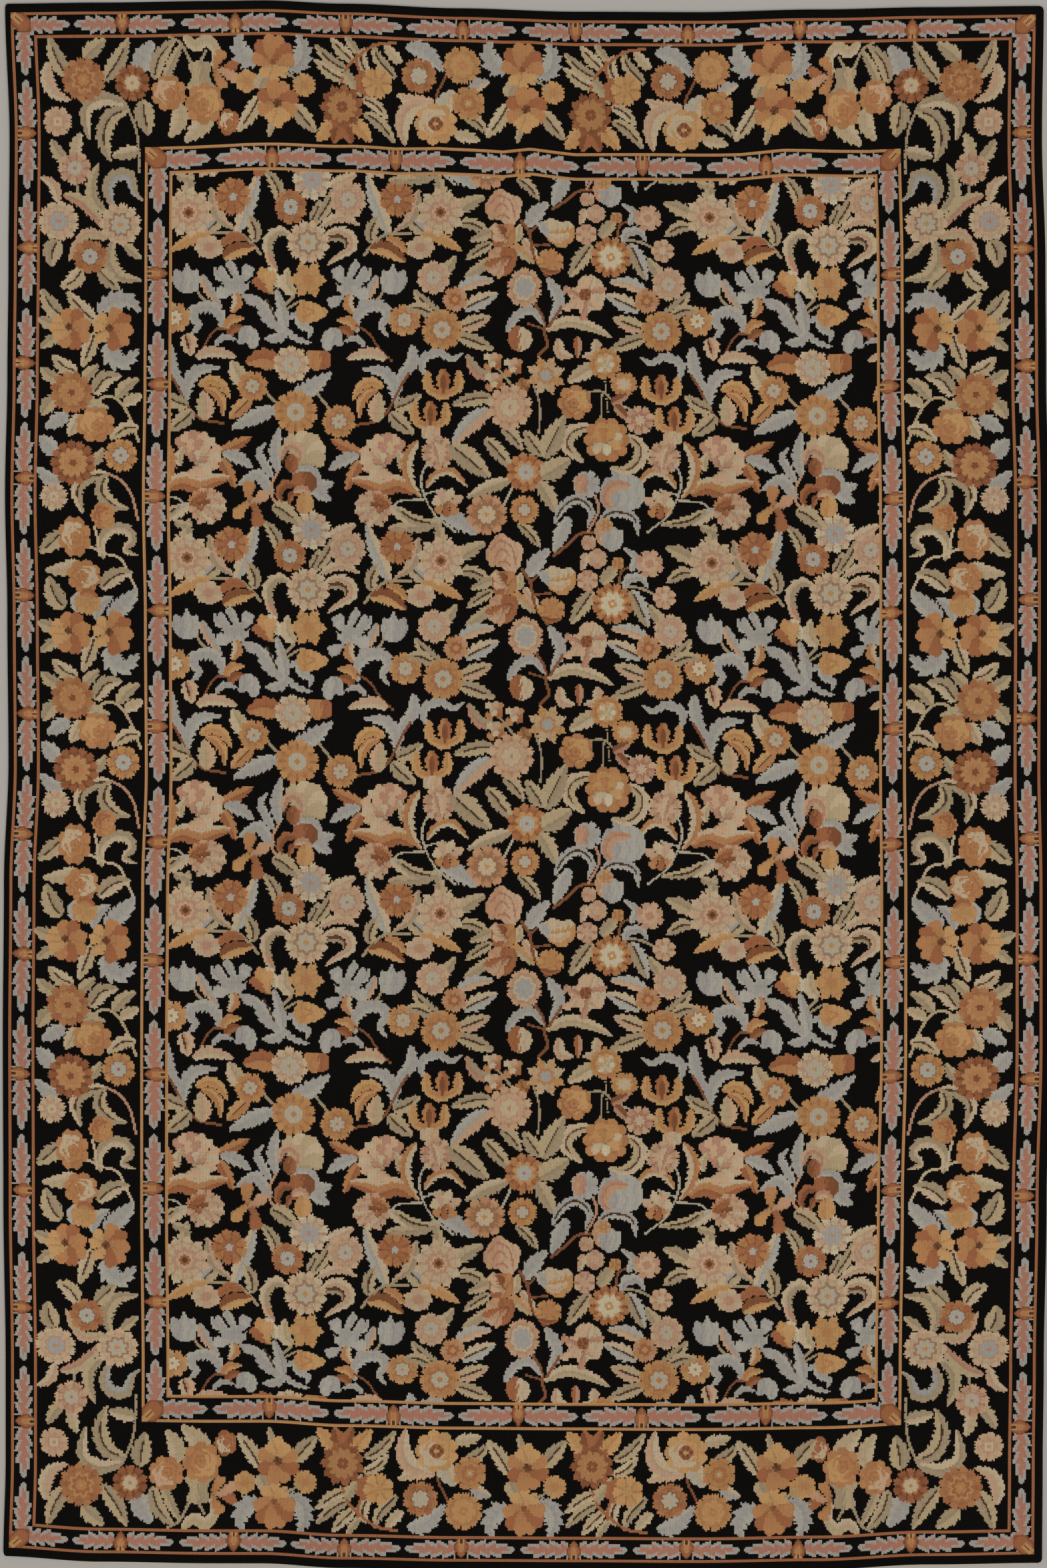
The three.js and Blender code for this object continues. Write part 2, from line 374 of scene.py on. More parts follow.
# the lower half: arched leaves, gold curls and the big orange daisies
leaf("blue mist", (11, 0, 117, 2, 132, 9, 148), (10, 168, 117, 167, 130, 160, 139, 160, 149),
     (13, 75, 162, 60, 168, 42, 177))
leaf("shell cream", (10, 18, 127, 30, 123, 46, 127), axis=84)
leaf("blue mist", (11, 12, 158, 13, 146, 20, 136, 36, 134), axis=84, teeth=0.35)
leaf("amber gold", (8, 20, 147, 28, 143, 36, 146, 42, 156), axis=84)
leaf("amber orange", (8, 24, 148, 31, 151, 36, 158, 37, 168), axis=84)
stem("copper", (1.0, 26, 147, 32, 148, 37, 154), axis=84)
stem("rust", (2, 0, 137, 5, 145, 9, 153, 13, 161, 18, 167, 25, 171, 37, 173), axis=82.5)
leaf("tan taupe dark", (12, 14, 161, 5, 158, -5, 151), axis=84.5)
leaf("taupe tan dark", (13, 17, 164, 9, 172, 0, 179), axis=84.5)
leaf("tan rose", (14, 25, 171, 25, 161, 23, 150), axis=84)
leaf("orange copper", (17, 76, 131, 64, 128, 52, 131))
patch("orange copper", (94, 123, 101, 121, 110, 122, 111, 128, 109, 133, 98, 134))
leaf("cream tan taupe", (14, 51, 147, 47, 139, 42, 129))
leaf("orange amber dark", (12, 56, 155, 49, 162, 41, 170))
leaf("blue mist", (14, 85, 151, 97, 147, 112, 136), teeth=0.4)
stem("taupe", (2, 66, 150, 70, 155, 76, 160), (2, 102, 151, 106, 156, 111, 162))
flower(84, 131, 13, 10, "cream rose", 8, "blush", 6.6, "sage", 1.6, "gold")
flower(57, 147, 11, 9, "orange gold", 6.5, "copper", 5, "sage", 1.3, "orange")
flower(117, 170, 12, 9, "orange gold", 7, "copper", 5, "sage", 1.3, "orange")
flower(87, 164, 15.5, 12, "gold orange", 9, "orange", 6.5, "sage", 2, "orange")

# peonies, the carnation and the blue lily between the pairs
leaf("cream sage", (10, 15, 229, 7, 235, -1, 241), axis=84)
leaf("tan taupe", (7, 5, 241, 10, 243, 17, 244), axis=84)
fan("pink rose", (8, 22, 200, 9, 186, 13, 183, 18, 182, 24, 183), axis=84)
leaf("mist blue", (12, 96, 206, 103, 214, 114, 212))
leaf("blue mist", (10, 75, 206, 73, 191, 76, 175), (7, 72, 211, 66, 201, 62, 193, 67, 186),
     (10, 72, 222, 61, 209, 47, 216), (13, 97, 206, 103, 218, 112, 225),
     (8, 84, 206, 93, 202, 101, 206, 105, 214))
stem("peach", (2, 75, 206, 71, 215, 72, 225, 85, 232))
patch("copper rust", (85, 208, 93, 205, 101, 208, 100, 218, 90, 219))
leaf("rust copper", (7, 91, 216, 81, 214, 76, 221, 79, 229))
leaf("copper rust", (5, 91, 221, 85, 221, 82, 230))
leaf("pink rose", (6, 86, 219, 92, 217, 98, 220))
patch("gold amber", (89, 223, 94, 219, 99, 223, 99, 231, 93, 234, 88, 231))
fan("tan cream", (12, 90, 199, 85, 185, 92, 183, 98, 184, 102, 189, 102, 196))
leaf("shell pink", (7, 77, 198, 79, 190, 85, 187, 91, 192, 90, 201))
stem("dark", (1.4, 78, 200, 81, 193, 83, 191))
patch("rust copper", (80, 199, 84, 193, 89, 197, 88, 205, 82, 205))
leaf("tan taupe dark", (14, 71, 229, 80, 233, 90, 241))
fan("orange gold copper peach", (9, 57, 227, 55, 217, 48, 235, 61, 240, 65, 223))
leaf("orange copper", (10, 35, 193, 46, 188, 57, 182), (10, 36, 197, 41, 207, 46, 218), axis=84)
leaf("blue mist", (10, 37, 193, 48, 197, 58, 204), axis=84)
leaf("cream peach", (11, -1, 218, 10, 212, 22, 215, 32, 211, 42, 210), axis=84, teeth=0.15)
leaf("orange copper", (10, -1, 220, 10, 215, 22, 218, 32, 214, 42, 212), axis=84, teeth=0.15)
fan("cream rose", (7, 20, 201, 29, 186, 33, 191, 33, 197, 31, 202, 27, 206, 22, 208), axis=84)
fan("rose pink", (7, 20, 202, 17, 208, 11, 190, 16, 188, 21, 188, 26, 191), axis=84)
fan("pink cream", (5, 20, 202, 16, 195, 21, 194, 25, 198), axis=84)
leaf("cream tan", (7, 9, 203, 8, 197, 11, 190), axis=84)
flower(27, 230, 13.5, 12, "shell peach", 8, "shell", axis=84, tall=0.95)
fan("shell cream", (4, 19, 227, 36, 225, 38, 231, 35, 238, 29, 241, 22, 241), axis=84)
leaf("orange copper", (8, 15, 229, 20, 225, 27, 224), axis=84)
fan("copper rust", (4, 16, 229, 25, 222, 27, 227, 23, 232), axis=84)

# the spray on the middle line of the field: leaves, stems, tulips and trumpets
leaf("tan taupe", (10, 160, 4, 175, 2, 190, -3), (8, 224, 39, 215, 43, 207, 46))
leaf("tan taupe dark", (9, 240, 1, 248, 7, 256, 18), (9, 223, 47, 214, 52, 204, 59))
leaf("blue mist", (14, 187, -6, 198, -2, 212, 9), teeth=0.45)
leaf("taupe tan", (9, 222, 58, 213, 65, 203, 71))
leaf("gold tan", (10, 235, 50, 243, 54, 252, 63))
leaf("cream shell", (8, 244, 45, 249, 52, 255, 61), (9, 269, 113, 270, 123, 279, 125))
leaf("cream tan", (9, 260, 108, 275, 101, 290, 104, 307, 112), teeth=0.15)
patch("copper cream", (234, 111, 239, 105, 245, 107, 250, 111, 249, 119, 241, 123, 235, 118))
leaf("shell cream", (9, 295, 113, 294, 123, 285, 125))
leaf("pink copper", (7, 282, 111, 282, 118, 282, 126))
patch("peach rose", (218, 22, 222, 14, 228, 8, 235, 12, 243, 17, 242, 29, 236, 36, 228, 31, 221, 30))
leaf("blue mist", (12, 276, -4, 270, 8, 265, 21), (13, 246, 38, 253, 28, 262, 18),
     (10, 261, 71, 269, 87, 262, 103))
stem("rust", (2.2, 265, 23, 275, 15, 283, 8, 293, 7),
     (2.2, 243, 33, 248, 41, 250, 50, 252, 58, 260, 70), (1.8, 249, 41, 256, 35),
     (1.8, 251, 50, 262, 49), (2.2, 252, 90, 258, 100, 259, 110, 261, 118, 255, 125),
     (2, 271, 91, 262, 105), (1.6, 248, 104, 258, 107))
leaf("blue mist", (8, 232, 109, 240, 98, 250, 95, 259, 105))
stem("blush", (1.3, 221, 20, 228, 13, 236, 18, 239, 30), (1.3, 224, 25, 229, 19, 235, 24),
     (1.3, 226, 29, 231, 27, 235, 31))
leaf("cream tan", (9, 236, 47, 240, 43, 242, 35))
patch("copper orange", (223, 36, 231, 34, 238, 36, 238, 48, 230, 50, 223, 48))
fan("rose rust orange", (5, 233, 46, 224, 36, 230, 37, 236, 37, 225, 44))
patch("peach copper", (218, 61, 222, 52, 230, 50, 239, 53, 239, 62, 234, 69, 227, 70, 220, 67))
fan("peach copper shell", (5, 236, 57, 222, 56, 220, 62, 223, 67, 228, 69, 233, 66))
patch("cream gold", (258, 35, 264, 30, 270, 32, 276, 31, 280, 36, 279, 44, 271, 50, 261, 45), lean=0.05)
leaf("blue mist", (7, 256, 33, 259, 39, 264, 44))
leaf("cream rose", (7, 261, 42, 268, 44, 277, 40))
flower(289, 14, 5.5, 5, "pink rose")
patch("peach cream", (294, 1, 299, -1, 303, 4, 302, 13, 297, 16, 294, 9))
patch("blue mist", (298, 8, 302, 6, 305, 2, 309, 5, 313, 6, 312, 15, 306, 20, 300, 17))
flower(263, 60, 10, 7, "gold orange", 5, "orange", tall=0.88)
leaf("rust copper", (4, 256, 66, 263, 68, 270, 66))
flower(245, 79, 12.5, 10, "peach shell", 8, "cream", 6.5, "blue", tall=1.12)
patch("rose cream", (272, 78, 281, 77, 284, 70, 293, 69, 300, 76, 301, 85, 297, 92,
                     290, 94, 286, 100, 282, 92, 273, 93, 277, 85))
fan("pink rose", (5, 287, 82, 274, 79, 274, 92, 286, 98, 296, 91, 299, 79, 290, 71))
flower(287, 82, 4.5, 5, "copper rust")

# leaves and buds to the right of the middle line
leaf("tan taupe dark", (13, 292, 47, 284, 58, 276, 70))
leaf("mist taupe dark", (13, 318, 46, 324, 58, 330, 72))
flower(295, 25, 7, 6, "pink rose", 3, "shell")
leaf("cream shell", (7, 287, 21, 286, 27, 284, 33))
leaf("taupe tan", (11, 297, 42, 303, 36, 309, 28))
flower(288, 40, 7.5, 6, "rose pink", 3.5, "shell")
flower(309, 28, 4.5, 5, "gold orange")
stem("rust", (1.8, 310, 41, 312, 33, 323, 29))
leaf("mist blue", (6, 318, 34, 321, 24, 313, 17), (7, 313, 47, 316, 39, 325, 38, 330, 45))
stem("taupe", (2, 317, 44, 325, 45, 334, 49))
flower(331, 28, 10, 8, "pink rose", 6, "rose", 3, "pink")
flower(341, 51, 8, 7, "rose peach", 3, "cream")
flower(305, 56, 14.5, 12, "orange copper", 10, "amber", 8, "pale", 3, "gold", 1.4, "pale")

# pairs at both sides of the middle line: daisies, gold tulips, roses and buds
leaf("tan taupe", (10, 186, 72, 192, 64, 198, 56), axis=264)
leaf("mist rose", (11, 199, 79, 211, 74, 224, 73), axis=264)
leaf("cream mist dark", (13, 203, 93, 215, 87, 227, 82), axis=264)
leaf("tan taupe dark", (11, 188, 98, 177, 90, 168, 79), axis=264)
leaf("tan shell dark", (13, 200, 106, 211, 102, 222, 98), axis=264)
leaf("taupe tan dark", (10, 181, 96, 173, 92, 163, 91), (12, 198, 111, 210, 115, 224, 121), axis=264)
leaf("blue mist", (8, 175, 138, 175, 127, 186, 123, 195, 127, 203, 123), axis=264, drop=2, teeth=0.35)
flower(182, 71, 12, 10, "shell rose", 7, "pink", 5, "sage", 1.5, "pink", axis=263.5, drop=3)
flower(197, 86, 9, 7, "orange peach", 4.5, "copper", 2, "gold", axis=263.5)
flower(188, 107, 14.5, 11, "orange gold", 8.5, "copper", 6.2, "sage", 2, "orange", axis=264)
for x, y in ((189, 144), (180, 166)):
    leaf("copper orange", (11, x, y - 10, x, y, x, y + 9), axis=264.5, drop=3)
    leaf("gold amber", (8, x - 11, y - 9, x - 10, y + 3, x - 1, y + 8), axis=264.5, drop=3)
    leaf("amber gold", (8, x + 11, y - 9, x + 10, y + 3, x + 1, y + 8), axis=264.5, drop=3)
    leaf("orange amber", (8, x - 9, y + 5, x, y + 8, x + 9, y + 5), axis=264.5, drop=3)
    leaf("rust", (4, x, y - 6, x, y, x, y + 7), axis=264.5, drop=3)
patch("cream rose", (174, 176, 180, 173, 187, 176, 185, 182, 176, 182), axis=264, drop=3)
leaf("cream orange", (10, 172, 183, 166, 192, 164, 202, 167, 213, 174, 223), axis=263.5, teeth=0.35)
leaf("orange cream", (7, 177, 216, 184, 207, 195, 205, 206, 216), axis=263.5)
flower(185.5, 191.5, 12, 10, "rose pink", 6, "rose", axis=263.5, drop=3)
leaf("cream pink", (5, 182, 183, 185, 191, 187, 200), axis=263.5, drop=3)
fan("cream shell", (7, 192, 229, 185, 225, 188, 220, 194, 220, 199, 224), axis=265, drop=1)
fan("orange copper", (6, 192, 226, 186, 231, 191, 233, 197, 232), axis=265, drop=1)
stem("sage", (1.6, 178, 199, 174, 208, 175, 218, 183, 234, 197, 246),
     (1.6, 153, 230, 160, 225, 175, 224), (1.5, 177, 220, 188, 217), axis=263.5)
leaf("tan taupe dark", (8, 157, 230, 170, 238, 189, 241), axis=263.5)

# the lower middle: buds, the big cream daisy and its leaves
leaf("taupe pink", (9, 205, 124, 212, 136, 222, 140, 233, 147))
stem("taupe", (1.8, 226, 133, 231, 139, 237, 147))
flower(244, 146, 5, 5, "rust orange")
for x, y in ((223, 129), (237, 133), (224, 143)):
    fan("orange copper", (6, x, y, x + 4, y - 2, x + 3, y + 3, x - 3, y + 4))
    fan("cream shell", (6, x, y, x - 3, y - 3, x + 1, y - 3, x, y + 1))
stem("taupe", (1.5, 252, 147, 255, 156, 256, 166, 255, 178),
     (1.5, 286, 151, 296, 149, 303, 152, 309, 161), (1.4, 299, 150, 298, 169),
     (1.4, 301, 141, 303, 165))
stem("sage", (1.6, 230, 230, 234, 222, 238, 214), (1.5, 306, 157, 321, 162))
leaf("shell mist", (15, 221, 162, 208, 172, 195, 186))
leaf("taupe cream", (11, 236, 211, 221, 216, 205, 223))
leaf("cream tan taupe", (13, 296, 131, 286, 136, 275, 143))
rose(280, 157, 12, 12, "orange amber rust", turn=0.3)
leaf("tan cream brown", (12, 291, 173, 278, 178, 275, 188, 286, 199))
leaf("tan taupe dark", (12, 223, 154, 210, 155, 195, 159), (11, 230, 175, 237, 181, 244, 191),
     (17, 194, 186, 206, 196, 222, 210), (12, 218, 182, 227, 192, 237, 204),
     (17, 258, 196, 265, 182, 273, 166))
flower(235, 161, 16, 12, "rose peach", 10, "shell", 8, "peach", 6.5, "cream", 1.6, "pink")
flower(246, 206, 14, 11, "orange copper", 8, "amber", 5.5, "mist", 1.5, "blush", turn=0.3)
leaf("tan taupe", (17, 256, 209, 266, 203, 277, 196), (13, 255, 212, 261, 221, 267, 233))
flower(219, 235, 14.5, 10, "peach orange", 9.5, "rust", 6.2, "cream", 1.6, "gold")
flower(245, 232, 10.5, 9, "orange gold", 5.5, "copper", 4.2, "sage")
flower(260, 139, 14, 8, "gold cream", 6, "orange", 4.2, "blue", pointed=True)
flower(301, 130, 11.5, 9, "orange gold", 7, "amber")
fan("pale cream", (4, 301, 131, 298, 127, 304, 126, 305, 131, 303, 135, 298, 134))
flower(314, 144, 10, 8, "orange gold", 6, "amber", 4.5, "cream", tall=0.85)
leaf("rust pink", (8, 305, 158, 310, 155, 317, 151), (8, 307, 159, 312, 163, 317, 169))
flower(325, 169, 10.5, 9, "rose pink", 5.5, "blush", 3.5, "cream")
leaf("cream tan brown", (12, 316, 179, 325, 187, 324, 197, 315, 204, 304, 202))
leaf("taupe tan dark", (13, 257, 194, 251, 186, 245, 177))
rose(302, 183, 16, 15.5, "orange gold amber copper", lobes=10, turn=0.15)
fan("cream amber pale", (7, 300, 184, 309, 181, 308, 187, 302, 190, 295, 189))
fan("gold orange", (6, 302, 185, 296, 180, 300, 178, 305, 180))
stem("pink", (2, 294, 222, 296, 232, 289, 246))
flower(288, 214, 10, 8, "blue mist")
patch("peach pink", (280, 210, 285, 207, 289, 212, 287, 219, 281, 219))
patch("blue mist", (297, 222, 300, 211, 306, 208, 304, 203, 312, 207, 322, 208, 328, 217,
                    325, 228, 314, 232, 302, 231))
leaf("peach pink", (8, 318, 214, 306, 215, 301, 224, 308, 233), teeth=0.1)
leaf("blue mist dark", (8, 265, 241, 272, 229, 282, 224, 291, 232, 288, 244),
     (8, 296, 240, 306, 233, 320, 236, 324, 249))
flower(301, 242, 5, 6, "peach gold")

# the corner of the main border, drawn once and turned over for the other three corners;
# all the border's leaves are a little fuller than drawn
BORDER_COLUMNS, BORDER_ROWS, BORDER_WIDE = 673, 1033, 73
FULLER = 1.14
corner = Chart(160, 186, fuller=FULLER)
leaf, stem, patch, fan, flower, rose = corner.tools()
leaf("tan cream", (9, 25, 81, 26, 73, 29, 64), (12, 98, 45, 98, 56, 91, 68),
     (13, 120, 54, 111, 62, 101, 71))
leaf("blue mist", (15, 69, 24, 75, 14, 81, 3))
leaf("cream taupe", (10, 61, 45, 45, 42, 33, 50, 35, 70))
leaf("cream shell", (8, 14, 113, 10, 101, 1, 95))
leaf("taupe blue", (9, 52, 115, 48, 103, 53, 94, 63, 94, 67, 105, 73, 111))
leaf("taupe tan dark", (11, 81, 29, 86, 14, 97, 2))
leaf("tan cream", (8, 102, 0, 110, 7, 118, 4, 124, 11, 121, 22), teeth=0.15)
leaf("tan cream dark", (12, 31, 159, 24, 168, 15, 172))
leaf("tan taupe dark", (12, 21, 27, 14, 15, 9, 0), (12, 46, 30, 56, 17, 65, 1),
     (14, 73, 42, 74, 53, 77, 66))
leaf("shell cream", (10, 8, 17, 7, 29, 12, 38, 23, 43))
leaf("tan taupe", (11, 33, 15, 40, 8, 49, 2), (9, 19, 86, 13, 78, 8, 69), (7, 88, 30, 94, 18, 101, 5))
stem("taupe", (2, 43, 36, 58, 42, 64, 52, 69, 68, 70, 91), (2, 26, 99, 27, 104, 28, 110),
     (2, 93, 1, 101, 6, 107, 18, 112, 19, 117, 11))
leaf("taupe cream", (10, 70, 76, 61, 78, 51, 80))
leaf("tan pink", (9, 17, 107, 30, 112, 40, 122, 49, 131))
patch("tan taupe", (105, 20, 112, 17, 120, 20, 119, 29, 122, 36, 104, 36, 107, 28))
flower(32, 29, 15.5, 13, "copper orange", 8.5, "amber", 6.5, "copper", 4, "orange", 1.5, "gold")
flower(66, 31, 12.5, 10, "copper rust", 6.5, "orange", 5, "cream", 1.5, "orange")
flower(13, 57, 10.5, 9, "shell rose", 5.5, "pink", 3.5, "cream", 1.3, "pink")
rose(91, 38, 12, 12, "orange rose copper", lobes=8)
rose(115, 46, 13, 14, "orange amber copper", turn=0.3, lobes=8)
fan("orange copper peach", (8, 123, 24, 127, 14, 135, 21, 135, 29, 127, 33))
rose(131, 59, 7.5, 9, "copper cream orange", lobes=5)
leaf("tan taupe dark", (12, 63, 48, 50, 54, 45, 68, 50, 85))
leaf("tan taupe", (9, 47, 120, 38, 110, 37, 98, 42, 85))
flower(25, 89, 12, 9, "rose pink", 6.5, "blush", 5, "sage", 1.4, "blush")
flower(144, 32, 8, 6, "gold amber", 3, "orange")
flower(14, 126, 14.5, 11, "rose cream", 7.5, "blush", 6.2, "blue", 1.8, "pink")
flower(57, 127, 15, 11, "rose cream", 8.5, "rust", 6.5, "sage", 1.8, "gold")
leaf("tan taupe", (10, 52, 139, 50, 152, 57, 163, 73, 166), (7, 60, 140, 65, 145, 72, 151))
leaf("tan taupe dark", (14, 14, 139, 10, 147, 9, 158), (11, 42, 159, 49, 166, 57, 173))
leaf("tan shell", (8, 49, 137, 35, 134, 27, 142, 21, 154))
flower(36, 150, 12.5, 9, "copper orange", 6.5, "rust", 5.5, "mist", 1.5, "copper")

# the run along the ends: three pairs of pansies with two sprays between them
END_REPEAT = 173
end_run = Chart(BORDER_COLUMNS, BORDER_WIDE, fuller=FULLER)
leaf, stem, patch, fan, flower, rose = end_run.tools()
for step in range(2):
    end_run.left = -END_REPEAT * step
    leaf("tan cream", (8, 252, 17, 246, 11, 240, 4), (9, 288, 65, 297, 66, 306, 68))
    leaf("tan taupe", (6, 223, 12, 218, 6, 213, -1))
    leaf("tan cream dark", (9, 214, 31, 203, 25, 191, 16), (9, 219, 17, 211, 10, 203, 1),
         (9, 228, 25, 224, 16, 227, 7), (8, 224, 42, 233, 46, 242, 55))
    leaf("tan taupe dark", (9, 216, 24, 203, 17, 192, 6), (9, 248, 27, 237, 16, 232, 4),
         (9, 225, 52, 236, 58, 247, 71), (9, 295, 53, 303, 55, 311, 63))
    stem("copper", (2.2, 248, 3, 235, 5, 225, 11, 215, 20, 210, 31), (2, 221, 12, 222, 22, 229, 31))
    leaf("taupe tan", (8, 212, 24, 218, 32, 224, 41))
    leaf("gold amber", (11, 203, 57, 199, 64, 192, 72))
    leaf("copper rust", (10, 208, 60, 206, 66, 204, 73))
    leaf("blue mist", (12, 255, 5, 268, 8, 282, 22))
    leaf("cream rose", (10, 274, 43, 262, 43, 248, 38))
    stem("rust", (2, 276, 46, 276, 38, 283, 24))
    leaf("sage cream", (13, 281, 54, 282, 44, 288, 34))
    leaf("cream shell", (12, 267, 44, 256, 49, 252, 60, 254, 73), teeth=0.2)
    leaf("blue cream", (9, 299, 35, 305, 30, 313, 27))
    rose(275, 58, 15, 14.5, "amber cream orange", lobes=9)
    leaf("rust copper", (10, 212, 60, 214, 66, 217, 73))
    leaf("amber gold", (11, 217, 56, 223, 63, 230, 72))
    flower(210, 48, 16, 11, "rust copper", 10.5, "gold", 5.5, "orange", 4.2, "rust", 1.5,
           "copper", pointed=True)
    leaf("rust copper", (14, 229, 24, 226, 32, 230, 41))
    flower(235, 31, 11, 7, "amber gold")
    flower(264, 25, 12.5, 10, "copper orange", 7, "rust", 5.8, "sage", 1.5, "rose")
    flower(294, 17, 13.5, 11, "orange gold", 8, "amber", 6, "gold", 3, "orange", 1.5, "gold")
    flower(298, 43, 12, 8, "orange gold", 6, "copper", 3, "gold", 1.3, "mist")
    flower(275, 58, 5, 6, "copper rust", 1.8, "amber")
for step in range(3):
    end_run.left = -END_REPEAT * step
    leaf("blue mist", (15, 154, 19, 144, 16, 140, 8, 141, -2), teeth=0.6)
    leaf("mist blue", (15, 172, 24, 181, 19, 184, 9, 180, -2), teeth=0.6)
    leaf("tan taupe", (10, 152, 38, 155, 31, 161, 26))
    leaf("tan cream dark", (11, 153, 42, 146, 54, 137, 66))
    leaf("tan taupe dark", (12, 175, 47, 183, 56, 192, 66))
    leaf("taupe tan", (5, 161, 59, 160, 65, 158, 70))
    flower(163, 19, 8, 6, "orange amber")
    flower(165, 47, 8, 6, "orange amber")
    fan("orange copper orange", (10, 163, 20, 153, 17, 155, 9, 161, 5, 167, 6, 172, 11, 173, 18))
    fan("amber", (8, 163, 20, 157, 26, 169, 26, 163, 30))
    flower(163, 19, 2.5, 5, "rust copper")
    fan("orange copper orange", (10, 165, 46, 156, 51, 156, 42, 162, 36, 169, 37, 175, 43, 174, 51))
    fan("amber", (8, 165, 47, 160, 56, 170, 56, 165, 60))
    flower(165, 47, 3, 5, "dark rust")
    flower(184, 34, 8.5, 6, "gold amber", 3, "orange")
    stem("taupe", (2, 171, 27, 175, 28, 179, 31))

# the run along the sides: four pairs of pansies with three sprays between them
SIDE_REPEAT = 211
side_run = Chart(BORDER_WIDE, BORDER_ROWS, fuller=FULLER)
leaf, stem, patch, fan, flower, rose = side_run.tools()
for step in range(3):
    side_run.top = -SIDE_REPEAT * step
    leaf("tan taupe", (10, 16, 238, 9, 235, 2, 229), (8, 32, 237, 37, 231, 43, 226),
         (9, 55, 249, 62, 240, 71, 235), (11, 13, 249, 8, 255, 3, 263), (11, 33, 249, 40, 255, 50, 256),
         (8, 37, 297, 43, 291, 47, 284))
    leaf("blue mist", (11, 22, 261, 14, 266, 6, 272), (12, 14, 290, 8, 283, 2, 277),
         (10, 18, 308, 9, 306, 1, 299), (13, 48, 400, 60, 392, 70, 380))
    leaf("tan cream", (9, 60, 252, 66, 250, 73, 246), (10, 29, 363, 18, 369, 6, 370))
    stem("tan", (2.2, 36, 256, 48, 248, 57, 251, 64, 261, 71, 279))
    leaf("tan cream dark", (11, 28, 231, 19, 228, 10, 220), (10, 71, 270, 62, 270, 51, 278))
    leaf("tan cream taupe", (10, 29, 261, 27, 268, 22, 277))
    stem("pink", (2, 39, 301, 50, 302, 60, 307, 67, 317, 71, 333))
    leaf("taupe cream", (8, 47, 361, 45, 349, 53, 340, 63, 340, 67, 347, 62, 354, 71, 358))
    stem("cream", (2, 41, 339, 43, 348, 44, 358), (2, 36, 352, 48, 357, 59, 361, 68, 379))
    leaf("taupe cream dark", (12, 39, 247, 47, 236, 59, 233), (10, 51, 302, 36, 305, 29, 315, 33, 330),
         (12, 44, 381, 55, 372, 67, 369))
    leaf("tan taupe dark", (10, 49, 302, 46, 314, 54, 323, 65, 326), (12, 18, 343, 11, 351, 2, 358),
         (14, 19, 396, 12, 387, 8, 374))
    leaf("mist pink", (6, 28, 398, 26, 391, 29, 384))
    leaf("mist blue", (9, 41, 403, 43, 393, 53, 386))
    flower(24, 246, 15, 12, "copper orange", 9, "amber", 7, "orange", 2.5, "rust")
    rose(41, 268, 13.5, 12.5, "orange amber copper", lobes=8)
    flower(26, 295, 16, 13, "copper rust", 10, "amber", 6, "orange", 2.6, "rust")
    flower(59, 289, 12, 9, "gold orange", 6.5, "rust", 5.5, "mist", 1.5, "copper")
    flower(13, 319, 10, 9, "cream shell", 5.5, "pink", 3.5, "cream", 1.3, "pink")
    rose(47, 331, 8.5, 9.5, "orange copper amber", lobes=5)
    rose(27, 346, 11.5, 14, "orange cream copper", lobes=8)
    rose(33, 373, 12, 11.5, "orange cream copper", turn=0.4, lobes=8)
    flower(35, 391, 9.5, 7, "gold amber", tall=0.95)
    leaf("copper orange", (6, 30, 386, 36, 384, 42, 388))
for step in range(4):
    side_run.top = -SIDE_REPEAT * step
    leaf("tan taupe", (10, 14, 200, 6, 197, 0, 195), (8, 16, 207, 9, 210, 2, 216))
    leaf("tan cream dark", (11, 40, 203, 36, 215, 31, 228))
    leaf("blue mist", (15, 50, 207, 52, 219, 61, 223, 71, 214), teeth=0.6)
    if step == 0:
        leaf("tan taupe dark", (12, 19, 193, 10, 187, 2, 174))
        leaf("tan cream dark", (12, 41, 196, 31, 188, 20, 175))
        leaf("blue mist", (15, 41, 189, 51, 182, 62, 180, 72, 188), teeth=0.6)
    flower(23, 200, 7, 6, "orange amber")
    flower(50, 200, 7, 6, "orange amber")
    fan("orange copper orange", (10, 23, 201, 21, 192, 27, 192, 32, 198, 32, 206, 26, 211, 19, 210),
        (10, 50, 200, 54, 190, 60, 194, 62, 201, 59, 208, 53, 211))
    fan("amber", (8, 23, 201, 14, 196, 12, 201, 14, 206), (8, 50, 200, 45, 193, 42, 199, 44, 207))
    flower(22, 200, 2.6, 5, "dark rust")
    flower(50, 200, 2.8, 5, "dark rust")


def lay(target, source, across=0, down=0, turned=False, flipped=False):
    """Sets one part of the chart into another, so many stitches from its left and top edges.

    Turned is left for right and counts from the right; flipped is top for bottom and counts
    from the bottom.
    """
    part = source.stitches
    rows, columns = part.shape[:2]
    if turned:
        part = part[:, ::-1]
        across = target.stitches.shape[1] - columns - across
    if flipped:
        part = part[::-1]
        down = target.stitches.shape[0] - rows - down
    place = target.stitches[down:down + rows, across:across + columns]
    part = part[:place.shape[0], :place.shape[1]]
    worked = ~np.isnan(part[..., 0])
    place[worked] = part[worked]


# The border mirrors itself about both middle lines, but for the near end, two columns over.
border = Chart(BORDER_COLUMNS, BORDER_ROWS)
for turned in (False, True):
    lay(border, side_run, turned=turned)
    for flipped in (False, True):
        lay(border, corner, turned=turned, flipped=flipped)
lay(border, end_run)
lay(border, end_run, across=2, flipped=True)


